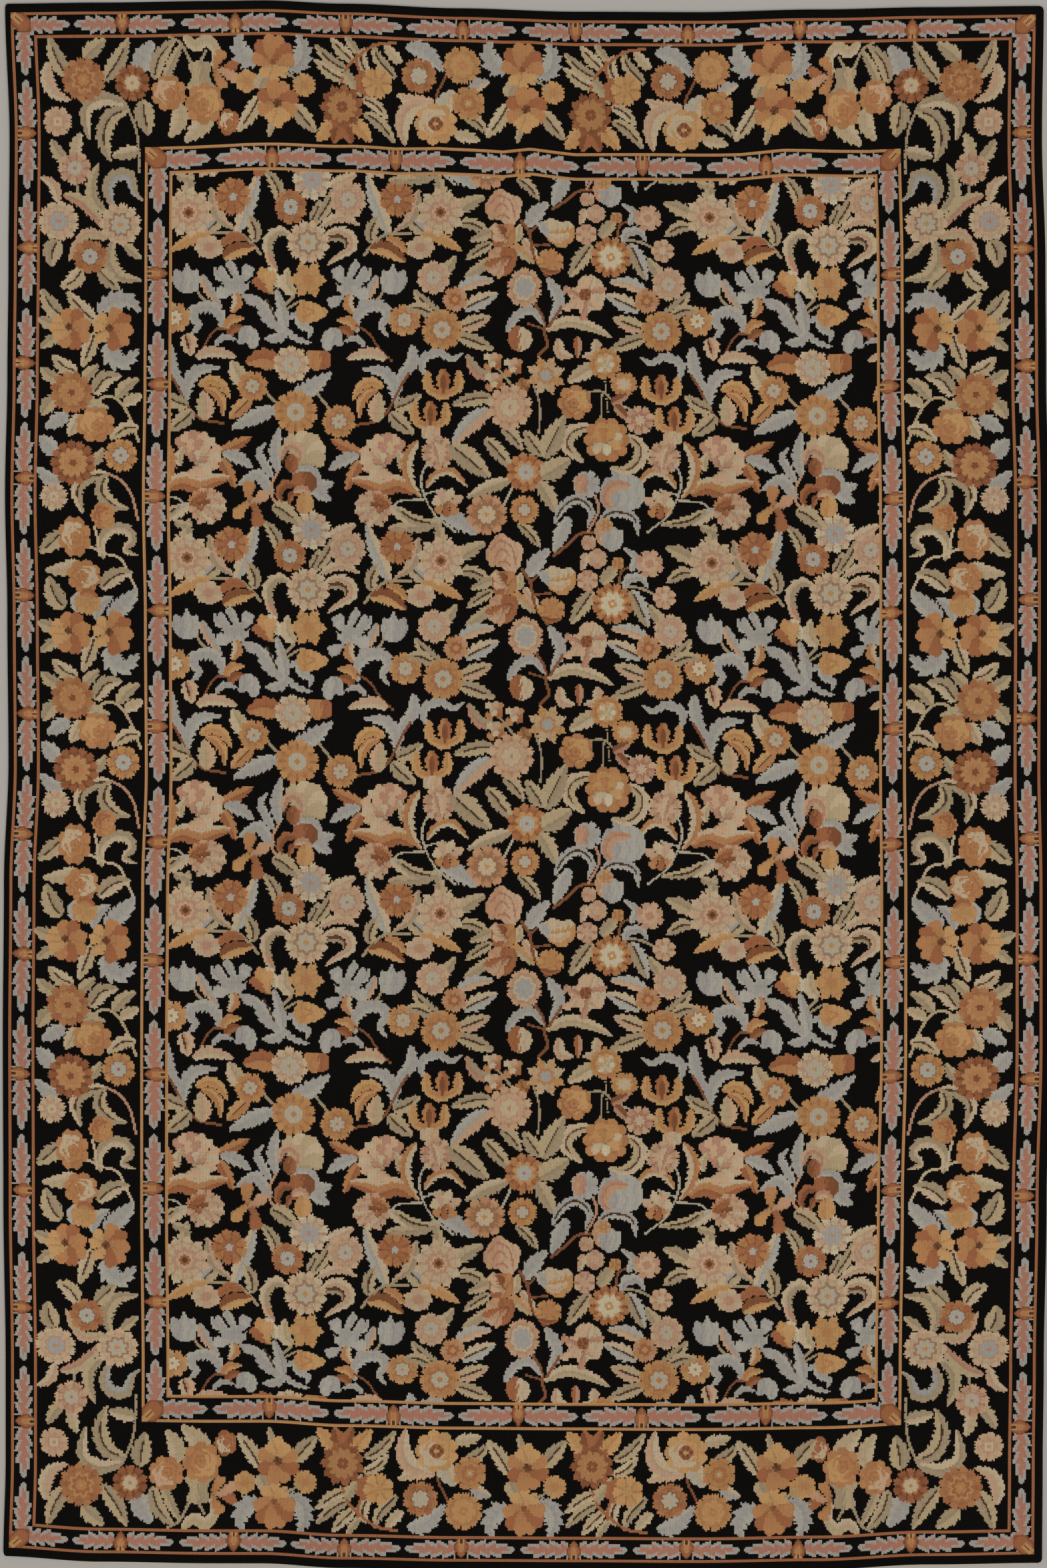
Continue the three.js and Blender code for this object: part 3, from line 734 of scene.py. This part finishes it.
def guard(places, high, first_up):
    """A strip of leaves and buds; buds at the places, the first and last are the corners."""
    strip = Chart(int(places[-1]) + 30, high)
    middle = high / 2
    x, y = np.meshgrid(np.arange(strip.stitches.shape[1]) + 0.5, np.arange(high) + 0.5)
    for a, b in zip(places[:-1], places[1:]):
        for root, tip in ((a + 5, (a + b) / 2 - 1.5), (b - 5, (a + b) / 2 + 1.5)):
            t = (x - root) / (tip - root)
            for rim, name in ((0.0, "blue"), (2.5, "blush")):
                lobes = (t * 4.3 + 0.45 * (y > middle)) % 1
                half = middle - 0.4 - 3.2 * (1 - lobes) ** 1.3 * (t < 0.92)
                half = half * np.clip((1 - t) / 0.4, 0, 1) ** 0.6
                inside = (t > -0.02) & (t < 1) & (np.abs(y - middle) <= half - rim)
                strip.work(x, y, inside, wool(name))
    for number, a in enumerate(places[1:-1]):
        up = (number % 2 == 0) == first_up
        depth = y if up else high - y
        share = np.clip((depth - 0.5) / (high - 0.5), 0, 1)
        half = 5.3 * np.minimum(0.65 + share, 1) * (1 - np.clip((share - 0.35) / 0.65, 0, 1) ** 1.5)
        away = np.abs(x - a)
        strip.work(x, y, away <= half, wool("rust"))
        strip.work(x, y, (away <= half - 1.3) & (depth < high * 0.85), wool("copper"))
        strip.work(x, y, (away <= half - 2.8) & (depth < 9), wool("orange"))
        strip.work(x, y, (away > 0.7) & (away <= 2.6 - depth / 4) & (depth < 8), wool("gold"))
        strip.work(x, y, (away <= 0.7) & (depth < 3.5), wool("dark"))
    return strip


def corner_bud(target, inset, size):
    """The bud that turns each corner, its slit towards the outside corner."""
    height, width = target.stitches.shape[:2]
    x, y = np.meshgrid(np.arange(width) + 0.5, np.arange(height) + 0.5)
    for right in (False, True):
        for low in (False, True):
            dx = (width - x if right else x) - inset
            dy = (height - y if low else y) - inset
            long = (dx + dy) / 1.414
            wide = np.abs(dx - dy) / 1.414
            near = (long > 0) & (long < size * 1.25)
            share = np.clip(long / (size * 1.25), 0, 1)
            half = size * 0.4 * np.clip(1.2 * np.sin(np.pi * share ** 0.85), 0, 1)
            target.work(x, y, (wide <= half) & near, wool("rust"))
            target.work(x, y, (wide <= half - 1.2) & near & (long < size), wool("copper"))
            target.work(x, y, (wide <= 2.6) & near & (long < 9), wool("gold"))
            target.work(x, y, (wide <= 0.7) & (long > 3) & (long < 9), wool("dark"))


# The whole rug: black ground, lines, border, guard stripes and field, each this many
# stitches in from the edge.
BORDER_INSET = 23
FIELD_INSET = 116
rug = Chart(COLUMNS, ROWS)
rug.stitches[:] = wool("black")
for deep, name in ((6, "copper"), (7, "copper"), (22, "copper"), (23, "copper"),
                   (97, "gold"), (98, "orange"), (114, "orange"), (115, "gold")):
    rug.stitches[[deep, ROWS - 1 - deep], deep:COLUMNS - deep] = wool(name)
    rug.stitches[deep:ROWS - deep, [deep, COLUMNS - 1 - deep]] = wool(name)
lay(rug, border, BORDER_INSET, BORDER_INSET)
outer_end = guard((13, 83.5, 160.5, 237, 318, 396, 474, 551.5, 630.5, 707), 14, True)
outer_side = guard((13, 88, 168.5, 249.5, 330, 411, 492.5, 575, 657.5, 741, 822, 904, 986, 1067),
                   14, True)
inner_end = guard((103, 184, 270, 356.5, 442, 528, 617), 15, False)
inner_side = guard((103, 184, 262, 340, 418.5, 498, 577, 658, 737, 816, 894.5, 977), 15, True)
for inset, end_strip, side_strip in ((8, outer_end, outer_side), (99, inner_end, inner_side)):
    side_strip.stitches = side_strip.stitches.transpose(1, 0, 2)
    for mirrored in (False, True):
        lay(rug, end_strip, down=inset, flipped=mirrored)
    for mirrored in (False, True):
        lay(rug, side_strip, across=inset, turned=mirrored)

# The field starts at the third column of its repeat. Its rows repeat too, and a few rows of
# the near half are worked twice.
FIRST_COLUMN = 2
WORKED_TWICE = (430, 600, 700, 760, 800)
rows = np.arange(ROWS - 2 * FIELD_INSET)
rows = (rows - np.searchsorted(WORKED_TWICE, rows)) % FIELD_ROWS
columns = (np.arange(COLUMNS - 2 * FIELD_INSET) + FIRST_COLUMN) % FIELD_COLUMNS
middle = Chart(len(columns), len(rows))
middle.stitches = field.stitches[np.ix_(rows, columns)]
lay(rug, middle, FIELD_INSET, FIELD_INSET)
corner_bud(rug, 7, 15)
corner_bud(rug, 98, 16)

# The outline and the form of the cloth, in metres.
WAVE_HEIGHT = 0.0009
EDGE_INSET = 0.0015
CORNER_CUT = 0.0023
# How far the real rug lies outside a true rectangle, in mm, and where the lining shows.
ENDS = [  # across, far end out, near end out, lining shows at the near end
    (-914, 6, -19, 0), (-737, 8, -9, 1), (-538, 11, -6, 1), (-456, 12, -6, 1),
    (-315, 6, 2, 0), (-115, -2, 6, 0), (96, -8, 7, 0), (308, -9, 8, 0),
    (519, -4, 5, 0), (718, 0, -4, 1), (914, 2, -7, 1),
]
SIDES = [  # along, left side out, right side out, lining shows at the right
    (-1372, 5, -7, 0), (-1199, 1, -6, 0), (-1023, 1, -4, 0), (-730, 5, 1, 0),
    (-448, 6, 8, 0), (-178, 4, 8, 0), (33, -4, 4, 0), (292, -2, 5, 0), (503, 2, 5, 0),
    (714, -2, 0, 0), (914, -4, -1, 1), (1137, -6, -7, 1), (1372, 2, -4, 0),
]
# How far the work inside the edge is pulled out of true, in mm: sideways by share of the
# width, lengthwise by share of the length, and the far inner line and the field by column.
PULLED_ACROSS = ((0, 0), (0.009, -7), (0.15, -7.5), (0.165, -7), (0.22, -3.5), (0.5, -2),
                 (0.82, -1), (0.86, -3.5), (0.95, 0), (0.99, 2.3), (1, 0))
PULLED_ALONG = ((0, 0), (0.013, -2.4), (0.09, 0), (0.11, 0), (0.17, -9), (0.42, -9), (0.48, -6),
                (0.6, -2), (0.7, 0), (0.91, 0), (0.987, 2.4), (1, 0))
FIELD_BOW = ((0, 2), (88, -4), (142, -6), (196, -9), (249, -4), (303, 1), (357, 6), (411, 7),
             (464, 5), (518, 0), (572, -4), (625, 1), (720, 0))
FAR_LINE = ((0, -4), (98, -8), (130, -7), (165, -3), (210, -1.5), (240, 0), (270, -1.9),
            (300, 2.9), (345, -1), (364, 6), (395, -2), (450, -1), (510, -2), (540, 3.2),
            (600, -2), (720, 2))
# The share of each of the two in force, by share of the length.
FAR_LINE_REACH = ((0.72, 0), (0.9, 1), (0.92, 1), (1, 0))
FIELD_REACH = ((0.11, 0), (0.15, 1), (0.86, 1), (0.89, 0))


def read_table(table, column, place):
    """One column of a table at places in metres, with an even turn between its rows."""
    keys = np.array([row[0] for row in table], float)
    values = np.array([row[column] for row in table], float)
    at = np.clip(np.asarray(place) * 1000, keys[0], keys[-1])
    index = np.clip(np.searchsorted(keys, at) - 1, 0, len(keys) - 2)
    share = (at - keys[index]) / (keys[index + 1] - keys[index])
    share = share * share * (3 - 2 * share)
    return values[index] + (values[index + 1] - values[index]) * share


def between(table, at):
    """The value of a two-column table, with a straight line between its rows."""
    return np.interp(at, *zip(*table))


def lay_points(x, y):
    """Where points of the true rectangle lie on the real rug."""
    across = x / RUG_WIDTH + 0.5
    along = y / RUG_LENGTH + 0.5
    column = across * COLUMNS
    out_x = read_table(SIDES, 2, y) * across - read_table(SIDES, 1, y) * (1 - across)
    out_y = read_table(ENDS, 1, x) * along - read_table(ENDS, 2, x) * (1 - along)
    out_x = out_x + between(PULLED_ACROSS, across)
    out_y = out_y + between(PULLED_ALONG, along)
    out_y = out_y + between(FAR_LINE_REACH, along) * between(FAR_LINE, column)
    out_y = out_y + between(FIELD_REACH, along) * between(FIELD_BOW, column)
    return x + out_x / 1000, y + out_y / 1000


def wave(x, y):
    """Very low waves of the worked face, 0.61 m apart across and 0.78 m apart along."""
    first = np.sin(2 * math.pi * x / 0.610 + y / 0.9)
    second = np.sin(2 * math.pi * y / 0.780 - x / 0.7)
    return WAVE_HEIGHT * 0.5 * (1 + first * second)


def rectangle_grid(columns, rows, inset):
    """Even grid lines over the rectangle, its corners drawn in a little."""
    xs = np.linspace(inset - RUG_WIDTH / 2, RUG_WIDTH / 2 - inset, columns + 1)
    ys = np.linspace(inset - RUG_LENGTH / 2, RUG_LENGTH / 2 - inset, rows + 1)
    x, y = np.meshgrid(xs, ys)
    for row, column in product((0, -1), (0, -1)):
        x[row, column] -= CORNER_CUT * np.sign(x[row, column])
        y[row, column] -= CORNER_CUT * np.sign(y[row, column])
    return x, y


def rim_of(columns, rows):
    """Row and column of each grid point round the edge, counterclockwise from near left."""
    rim = [(0, c) for c in range(columns)]
    rim += [(r, columns) for r in range(rows)]
    rim += [(rows, c) for c in range(columns, 0, -1)]
    rim += [(r, 0) for r in range(rows, 0, -1)]
    return rim


def closed_sheet(name, columns, rows, coarse, inset, rings, top_height):
    """A closed flat piece: a fine grid on top, rings down its edge, a coarser grid below.

    A ring is how far it reaches out and its height, below zero from the top down. Faces come
    in that order: top, rings, underside.
    """
    x, y = rectangle_grid(columns, rows, inset)
    laid_x, laid_y = lay_points(x, y)
    points = [np.stack([laid_x, laid_y, top_height(laid_x, laid_y)], axis=-1).reshape(-1, 3)]
    number = np.arange(x.size).reshape(x.shape)
    faces = [(number[r, c], number[r, c + 1], number[r + 1, c + 1], number[r + 1, c])
             for r, c in product(range(rows), range(columns))]
    rim = rim_of(columns, rows)
    before = [number[spot] for spot in rim]
    total = number.size
    edge_x, edge_y = (np.array([grid[spot] for spot in rim]) for grid in (x, y))
    ring_top = top_height(*lay_points(edge_x, edge_y))
    for reach, height in rings:
        if callable(reach):
            reach = reach(edge_x, edge_y)
        ring_x, ring_y = lay_points(edge_x * (1 + 2 * reach / RUG_WIDTH),
                                    edge_y * (1 + 2 * reach / RUG_LENGTH))
        ring_z = np.full(ring_x.shape, height) if height >= 0 else ring_top + height
        points.append(np.stack([ring_x, ring_y, ring_z], axis=-1))
        ring = list(range(total, total + len(rim)))
        total += len(rim)
        for i in range(len(rim)):
            j = (i + 1) % len(rim)
            faces.append((ring[i], ring[j], before[j], before[i]))
        before = ring
    low_rows, low_columns = rows // coarse, columns // coarse
    under_x, under_y = lay_points(*rectangle_grid(low_columns, low_rows, inset))
    under_z = points[-1][0, 2]
    place = dict(zip(rim, before))
    inner = []
    for r, c in product(range(1, low_rows), range(1, low_columns)):
        place[(r * coarse, c * coarse)] = total + len(inner)
        inner.append((under_x[r, c], under_y[r, c], under_z))
    points.append(np.array(inner))
    steps = range(coarse)
    for near, left in product(range(0, rows, coarse), range(0, columns, coarse)):
        loop = [(near, left + s) for s in steps]
        loop += [(near + s, left + coarse) for s in steps]
        loop += [(near + coarse, left + coarse - s) for s in steps]
        loop += [(near + coarse - s, left) for s in steps]
        faces.append(tuple(place[key] for key in reversed(loop) if key in place))
    mesh = bpy.data.meshes.new(name)
    mesh.from_pydata(np.vstack(points).tolist(), [], faces)
    mesh.update()
    mesh.polygons.foreach_set("use_smooth", [True] * len(mesh.polygons))
    piece = bpy.data.objects.new(name, mesh)
    bpy.context.scene.collection.objects.link(piece)
    return piece


def points_of(piece):
    """The piece's points as rows of x, y and z."""
    spots = np.empty(len(piece.data.vertices) * 3)
    piece.data.vertices.foreach_get("co", spots)
    return spots.reshape(-1, 3)


def move(piece, shift):
    piece.data.vertices.foreach_set("co", (points_of(piece) + shift).ravel())
    piece.data.update()


# The mesh: each face of the worked side holds three stitches by three, and the hem bulges a
# little before it turns under.
FACE_STITCHES = 3
GRID_COLUMNS, GRID_ROWS = COLUMNS // FACE_STITCHES, ROWS // FACE_STITCHES
UNDER_COARSE = 4
BASE = LINING_THICK + LAYER_GAP
work_rings = [(EDGE_INSET * 0.7, -0.0006), (EDGE_INSET, -0.0017), (EDGE_INSET * 0.7, BASE)]
work = closed_sheet("needlework_worked", GRID_COLUMNS, GRID_ROWS, UNDER_COARSE, EDGE_INSET,
                    work_rings, lambda x, y: BASE + WORK_THICK + wave(x, y))
face_count = len(work.data.polygons)
top_faces = GRID_COLUMNS * GRID_ROWS

# Every face keeps the colours of its nine stitches in nine layers. The hem and the
# underside are black. The dye differs a little from stitch to stitch.
DYE_SPREAD = 0.035
generator = np.random.default_rng(7)
stitches = rug.stitches[::-1].copy()
stitches *= 1 + generator.normal(0, DYE_SPREAD, (ROWS, COLUMNS, 1))
stitches = np.clip(stitches * WOOL_STRENGTH, 0.002, 1)
for part_row, part_column in product(range(FACE_STITCHES), repeat=2):
    values = np.tile(np.append(wool("black") * WOOL_STRENGTH, 1.0), (face_count, 1))
    block = stitches[part_row::FACE_STITCHES, part_column::FACE_STITCHES]
    values[:top_faces, :3] = block.reshape(-1, 3)
    layer = work.data.attributes.new(f"wool_{part_column}{part_row}", "FLOAT_COLOR", "FACE")
    layer.data.foreach_set("color", values.ravel().astype(np.float32))

# The stitches map counts columns and rows of stitches, so that the ridges fall on them.
spots = points_of(work)
loop_vertex = np.empty(len(work.data.loops), np.int32)
work.data.loops.foreach_get("vertex_index", loop_vertex)
top_columns, top_rows = GRID_COLUMNS + 1, GRID_ROWS + 1
top_points = top_columns * top_rows
chart_uv = (spots[:, :2] / [RUG_WIDTH, RUG_LENGTH] + 0.5) * [COLUMNS, ROWS]
chart_uv[:top_points, 0] = np.tile(np.arange(top_columns) * float(FACE_STITCHES), top_rows)
chart_uv[:top_points, 1] = np.repeat(np.arange(top_rows) * float(FACE_STITCHES), top_columns)
bake_layer = work.data.uv_layers.new(name="OFBake")
stitch_layer = work.data.uv_layers.new(name="stitches")
stitch_layer.data.foreach_set("uv", chart_uv[loop_vertex].ravel())

# The bake map, in shares of the picture: the worked face fills it up to a narrow strip at
# the right, which holds the three rings of the edge as thin columns and then the underside.
TOP_LOW, TOP_SIZE = np.array([0.006, 0.0075]), np.array([0.94, 0.985])
RING_LEFT, RING_STEP, RING_WIDE = 0.952, 0.004, 0.0035
UNDER_LEFT, UNDER_WIDE = 0.968, 0.028
STRIP_LOW, STRIP_TALL = 0.01, 0.98
bake_loops = (chart_uv / [COLUMNS, ROWS] * TOP_SIZE + TOP_LOW)[loop_vertex]
face_start = np.empty(face_count, np.int32)
work.data.polygons.foreach_get("loop_start", face_start)
rim_faces = 2 * (GRID_COLUMNS + GRID_ROWS)
under_start = top_faces + len(work_rings) * rim_faces
for face in range(top_faces, under_start):
    ring, step = divmod(face - top_faces, rim_faces)
    low, high = (STRIP_LOW + STRIP_TALL * at / rim_faces for at in (step, step + 1))
    left = RING_LEFT + RING_STEP * ring
    bake_loops[face_start[face]:face_start[face] + 4] = [
        (left + RING_WIDE, low), (left + RING_WIDE, high), (left, high), (left, low)]
under = face_start[under_start]
under_uv = chart_uv[loop_vertex[under:]] / [COLUMNS, ROWS]
bake_loops[under:] = [UNDER_LEFT, STRIP_LOW] + under_uv * [UNDER_WIDE, STRIP_TALL]
bake_layer.data.foreach_set("uv", bake_loops.ravel())
work.data.uv_layers.active = bake_layer
bake_layer.active_render = True


def add(tree, kind, settings=None, **links):
    """Adds one node; a link is a node, a socket or a number, for the input of that name."""
    kind, _, operation = kind.partition(" ")
    node = tree.nodes.new("ShaderNode" + kind)
    if operation:
        node.operation = operation
    for name, value in (settings or {}).items():
        setattr(node, name, value)
    for name, value in links.items():
        socket = node.inputs[int(name[1:]) if name[1:].isdigit() else name.replace("_", " ")]
        if isinstance(value, bpy.types.Node):
            value = value.outputs[0]
        if isinstance(value, bpy.types.NodeSocket):
            tree.links.new(value, socket)
        else:
            socket.default_value = value
    return node


# Wool has no shine at all: the eye sees dull colour, broken by fine dark grooves, which are
# bumps and are also painted as shade into the colour.
wool_finish = bpy.data.materials.new("tent_stitched_wool")
wool_finish.use_nodes = True
tree = wool_finish.node_tree
shader = tree.nodes["Principled BSDF"]
shader.inputs["Roughness"].default_value = 0.92
shader.inputs["Specular IOR Level"].default_value = 0.05
where = add(tree, "UVMap", {"uv_map": "stitches"})
axes = add(tree, "SeparateXYZ", Vector=where)

# Which of the three stitches across and along its face a spot lies in, and its wool.
past = {}
for axis in ("X", "Y"):
    part = add(tree, "Math DIVIDE", i0=axes.outputs[axis], i1=3.0)
    part = add(tree, "Math FRACT", i0=part)
    past[axis] = [add(tree, "Math GREATER_THAN", i0=part, i1=edge)
                  for edge in (1 / 3, 2 / 3)]
row_wools = []
for part_row in range(FACE_STITCHES):
    for part_column in range(FACE_STITCHES):
        dye = add(tree, "Attribute", {"attribute_name": f"wool_{part_column}{part_row}"})
        picked = dye if part_column == 0 else add(
            tree, "Mix", {"data_type": "RGBA"}, i0=past["X"][part_column - 1], i6=picked,
            i7=dye).outputs[2]
    row_wools.append(picked)
picked = row_wools[0]
for part_row in (1, 2):
    picked = add(tree, "Mix", {"data_type": "RGBA"}, i0=past["Y"][part_row - 1],
                 i6=picked, i7=row_wools[part_row]).outputs[2]

# Each stitch is a small round ridge of wool between the canvas threads, with fine fuzz, and
# the dye changes slowly over the rug. The ridges also scale the colour: painted shade in the
# grooves and a painted highlight on the ridge tops.
ridges = []
for axis in ("X", "Y"):
    part = add(tree, "Math MULTIPLY", i0=axes.outputs[axis], i1=math.pi)
    part = add(tree, "Math SINE", i0=part)
    part = add(tree, "Math ABSOLUTE", i0=part)
    ridges.append(part)
ribs = add(tree, "Math MULTIPLY_ADD", i0=ridges[1], i1=0.35, i2=ridges[0])
place = add(tree, "TexCoord")
fuzz = add(tree, "TexNoise", {"noise_dimensions": "3D"}, Vector=place.outputs["Object"],
           Scale=900.0, Detail=3.0, Roughness=0.6)
abrash = add(tree, "TexNoise", {"noise_dimensions": "3D"}, Vector=place.outputs["Object"],
             Scale=3.2, Detail=2.0)
# painted shade in the grooves and a painted highlight on the ridges, 0.72 to 1.12 times the wool
shade = add(tree, "MapRange", Value=ribs, From_Min=0.0, From_Max=1.35,
            To_Min=0.72, To_Max=1.12)
flecks = add(tree, "MapRange", Value=fuzz.outputs["Fac"], From_Min=0.25, From_Max=0.75,
             To_Min=0.88, To_Max=1.12)
slow = add(tree, "MapRange", Value=abrash.outputs["Fac"], From_Min=0.3, From_Max=0.7,
           To_Min=0.94, To_Max=1.06)
# the wool's colour is scaled by the painted shade, the fuzz flecks and the slow dye changes
painted_shade_and_dye = add(tree, "Math MULTIPLY", i0=shade, i1=flecks)
painted_shade_and_dye = add(tree, "Math MULTIPLY", i0=painted_shade_and_dye, i1=slow)
dyed_with_painted_shade = add(tree, "VectorMath SCALE", i0=picked, Scale=painted_shade_and_dye)
tree.links.new(dyed_with_painted_shade.outputs[0], shader.inputs["Base Color"])
height = add(tree, "Math MULTIPLY_ADD", i0=fuzz.outputs["Fac"], i1=0.5,
             i2=ribs)
bump = add(tree, "Bump", Strength=0.5, Distance=0.0006, Height=height)
tree.links.new(bump.outputs[0], shader.inputs["Normal"])
work.data.materials.append(wool_finish)

# The mesh is centred over its part of the CAD model; its height stays as built.
low, high = (np.array(corner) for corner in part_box("needlework"))
shift = (low + high) / 2 - (spots.min(axis=0) + spots.max(axis=0)) / 2
shift[2] = 0
move(work, shift)
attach(work, "root")
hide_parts("needlework")

# Lining: one thin, pale cotton cloth, cut close to the rug's outline and sewn on below. Its
# edge shows past the needlework along the near end and the far part of the right side.
LINING_SHOW = 0.0016
LINING_TUCK = 0.0015
THREAD_SPACING = 0.0008


def lining_reach(x, y):
    """How far the cloth reaches past the needlework's edge."""
    near = read_table(ENDS, 3, x) * (y <= 0.001 - RUG_LENGTH / 2)
    right = read_table(SIDES, 3, y) * (x >= RUG_WIDTH / 2 - 0.001)
    shown = np.maximum(near, right)
    return LINING_SHOW * shown - LINING_TUCK * (1 - shown)


lining = closed_sheet("lining_cloth", 120, 180, 2, 0.0,
                      [(lining_reach, LINING_THICK), (lining_reach, 0.0)],
                      lambda x, y: np.full(x.shape, LINING_THICK))
move(lining, shift)

# Plain cotton is dull too, a little smoother than the wool, with thick and thin threads. They
# are drawn coarser than real ones, 0.8 mm apart.
cloth_finish = bpy.data.materials.new("plain_woven_unbleached_cotton")
cloth_finish.use_nodes = True
tree = cloth_finish.node_tree
shader = tree.nodes["Principled BSDF"]
shader.inputs["Roughness"].default_value = 0.88
shader.inputs["Specular IOR Level"].default_value = 0.2
place = add(tree, "TexCoord")
axes = add(tree, "SeparateXYZ", Vector=place.outputs["Object"])
threads = []
for axis in ("X", "Y"):
    part = add(tree, "Math MULTIPLY", i0=axes.outputs[axis],
               i1=math.pi / THREAD_SPACING)
    threads.append(add(tree, "Math SINE", i0=part))
over = add(tree, "Math MULTIPLY", i0=threads[0], i1=threads[1])
slub = add(tree, "TexNoise", {"noise_dimensions": "3D"}, Vector=place.outputs["Object"],
           Scale=60.0, Detail=4.0)
mix = add(tree, "MixRGB", {"blend_type": "MIX"}, Fac=slub.outputs["Fac"],
          Color1=(*to_linear("#c9b794"), 1), Color2=(*to_linear("#dccdb0"), 1))
tree.links.new(mix.outputs[0], shader.inputs["Base Color"])
bump = add(tree, "Bump", Strength=0.4, Distance=0.0002, Height=over)
tree.links.new(bump.outputs[0], shader.inputs["Normal"])
lining.data.materials.append(cloth_finish)
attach(lining, "root")
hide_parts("lining")

# The floor, lights and camera: a plain pale floor, even light from all round and one wide,
# soft light from the near right, seen from straight above as in the photo.
bpy.ops.object.select_all(action="DESELECT")
bpy.ops.mesh.primitive_plane_add(size=12, location=(0, 0, 0))
floor = bpy.context.object
floor.name = "floor"
floor_finish = bpy.data.materials.new("pale_plain_floor")
floor_finish.use_nodes = True
shader = floor_finish.node_tree.nodes["Principled BSDF"]
shader.inputs["Base Color"].default_value = (*to_linear("#c9c4bb"), 1)
shader.inputs["Roughness"].default_value = 0.9
floor.data.materials.append(floor_finish)

world = bpy.context.scene.world or bpy.data.worlds.new("soft room")
bpy.context.scene.world = world
world.use_nodes = True
sky = world.node_tree.nodes["Background"]
sky.inputs["Color"].default_value = (1, 1, 1, 1)
sky.inputs["Strength"].default_value = 0.36
soft = bpy.data.lights.new("soft light", "SUN")
soft.energy = 1.18
soft.angle = math.radians(35)
lamp = bpy.data.objects.new("soft light", soft)
lamp.rotation_euler = (math.radians(38), 0, math.radians(35))
bpy.context.scene.collection.objects.link(lamp)

# The camera's picture is as tall as VIEW_LENGTH at the height of the worked face.
CAMERA_HEIGHT = 5.0
FACE_HEIGHT = 0.005
VIEW_LENGTH = 2.7566
VIEW_MIDDLE = (-0.0047, 0.0053)
camera = bpy.data.cameras.new("camera")
camera.sensor_fit = "VERTICAL"
camera.sensor_height = 36
camera.lens = camera.sensor_height * (CAMERA_HEIGHT - FACE_HEIGHT) / VIEW_LENGTH
eye = bpy.data.objects.new("camera", camera)
eye.location = (VIEW_MIDDLE[0] + shift[0], VIEW_MIDDLE[1] + shift[1], CAMERA_HEIGHT)
bpy.context.scene.collection.objects.link(eye)
bpy.context.scene.camera = eye
bpy.context.scene.view_settings.view_transform = "Standard"
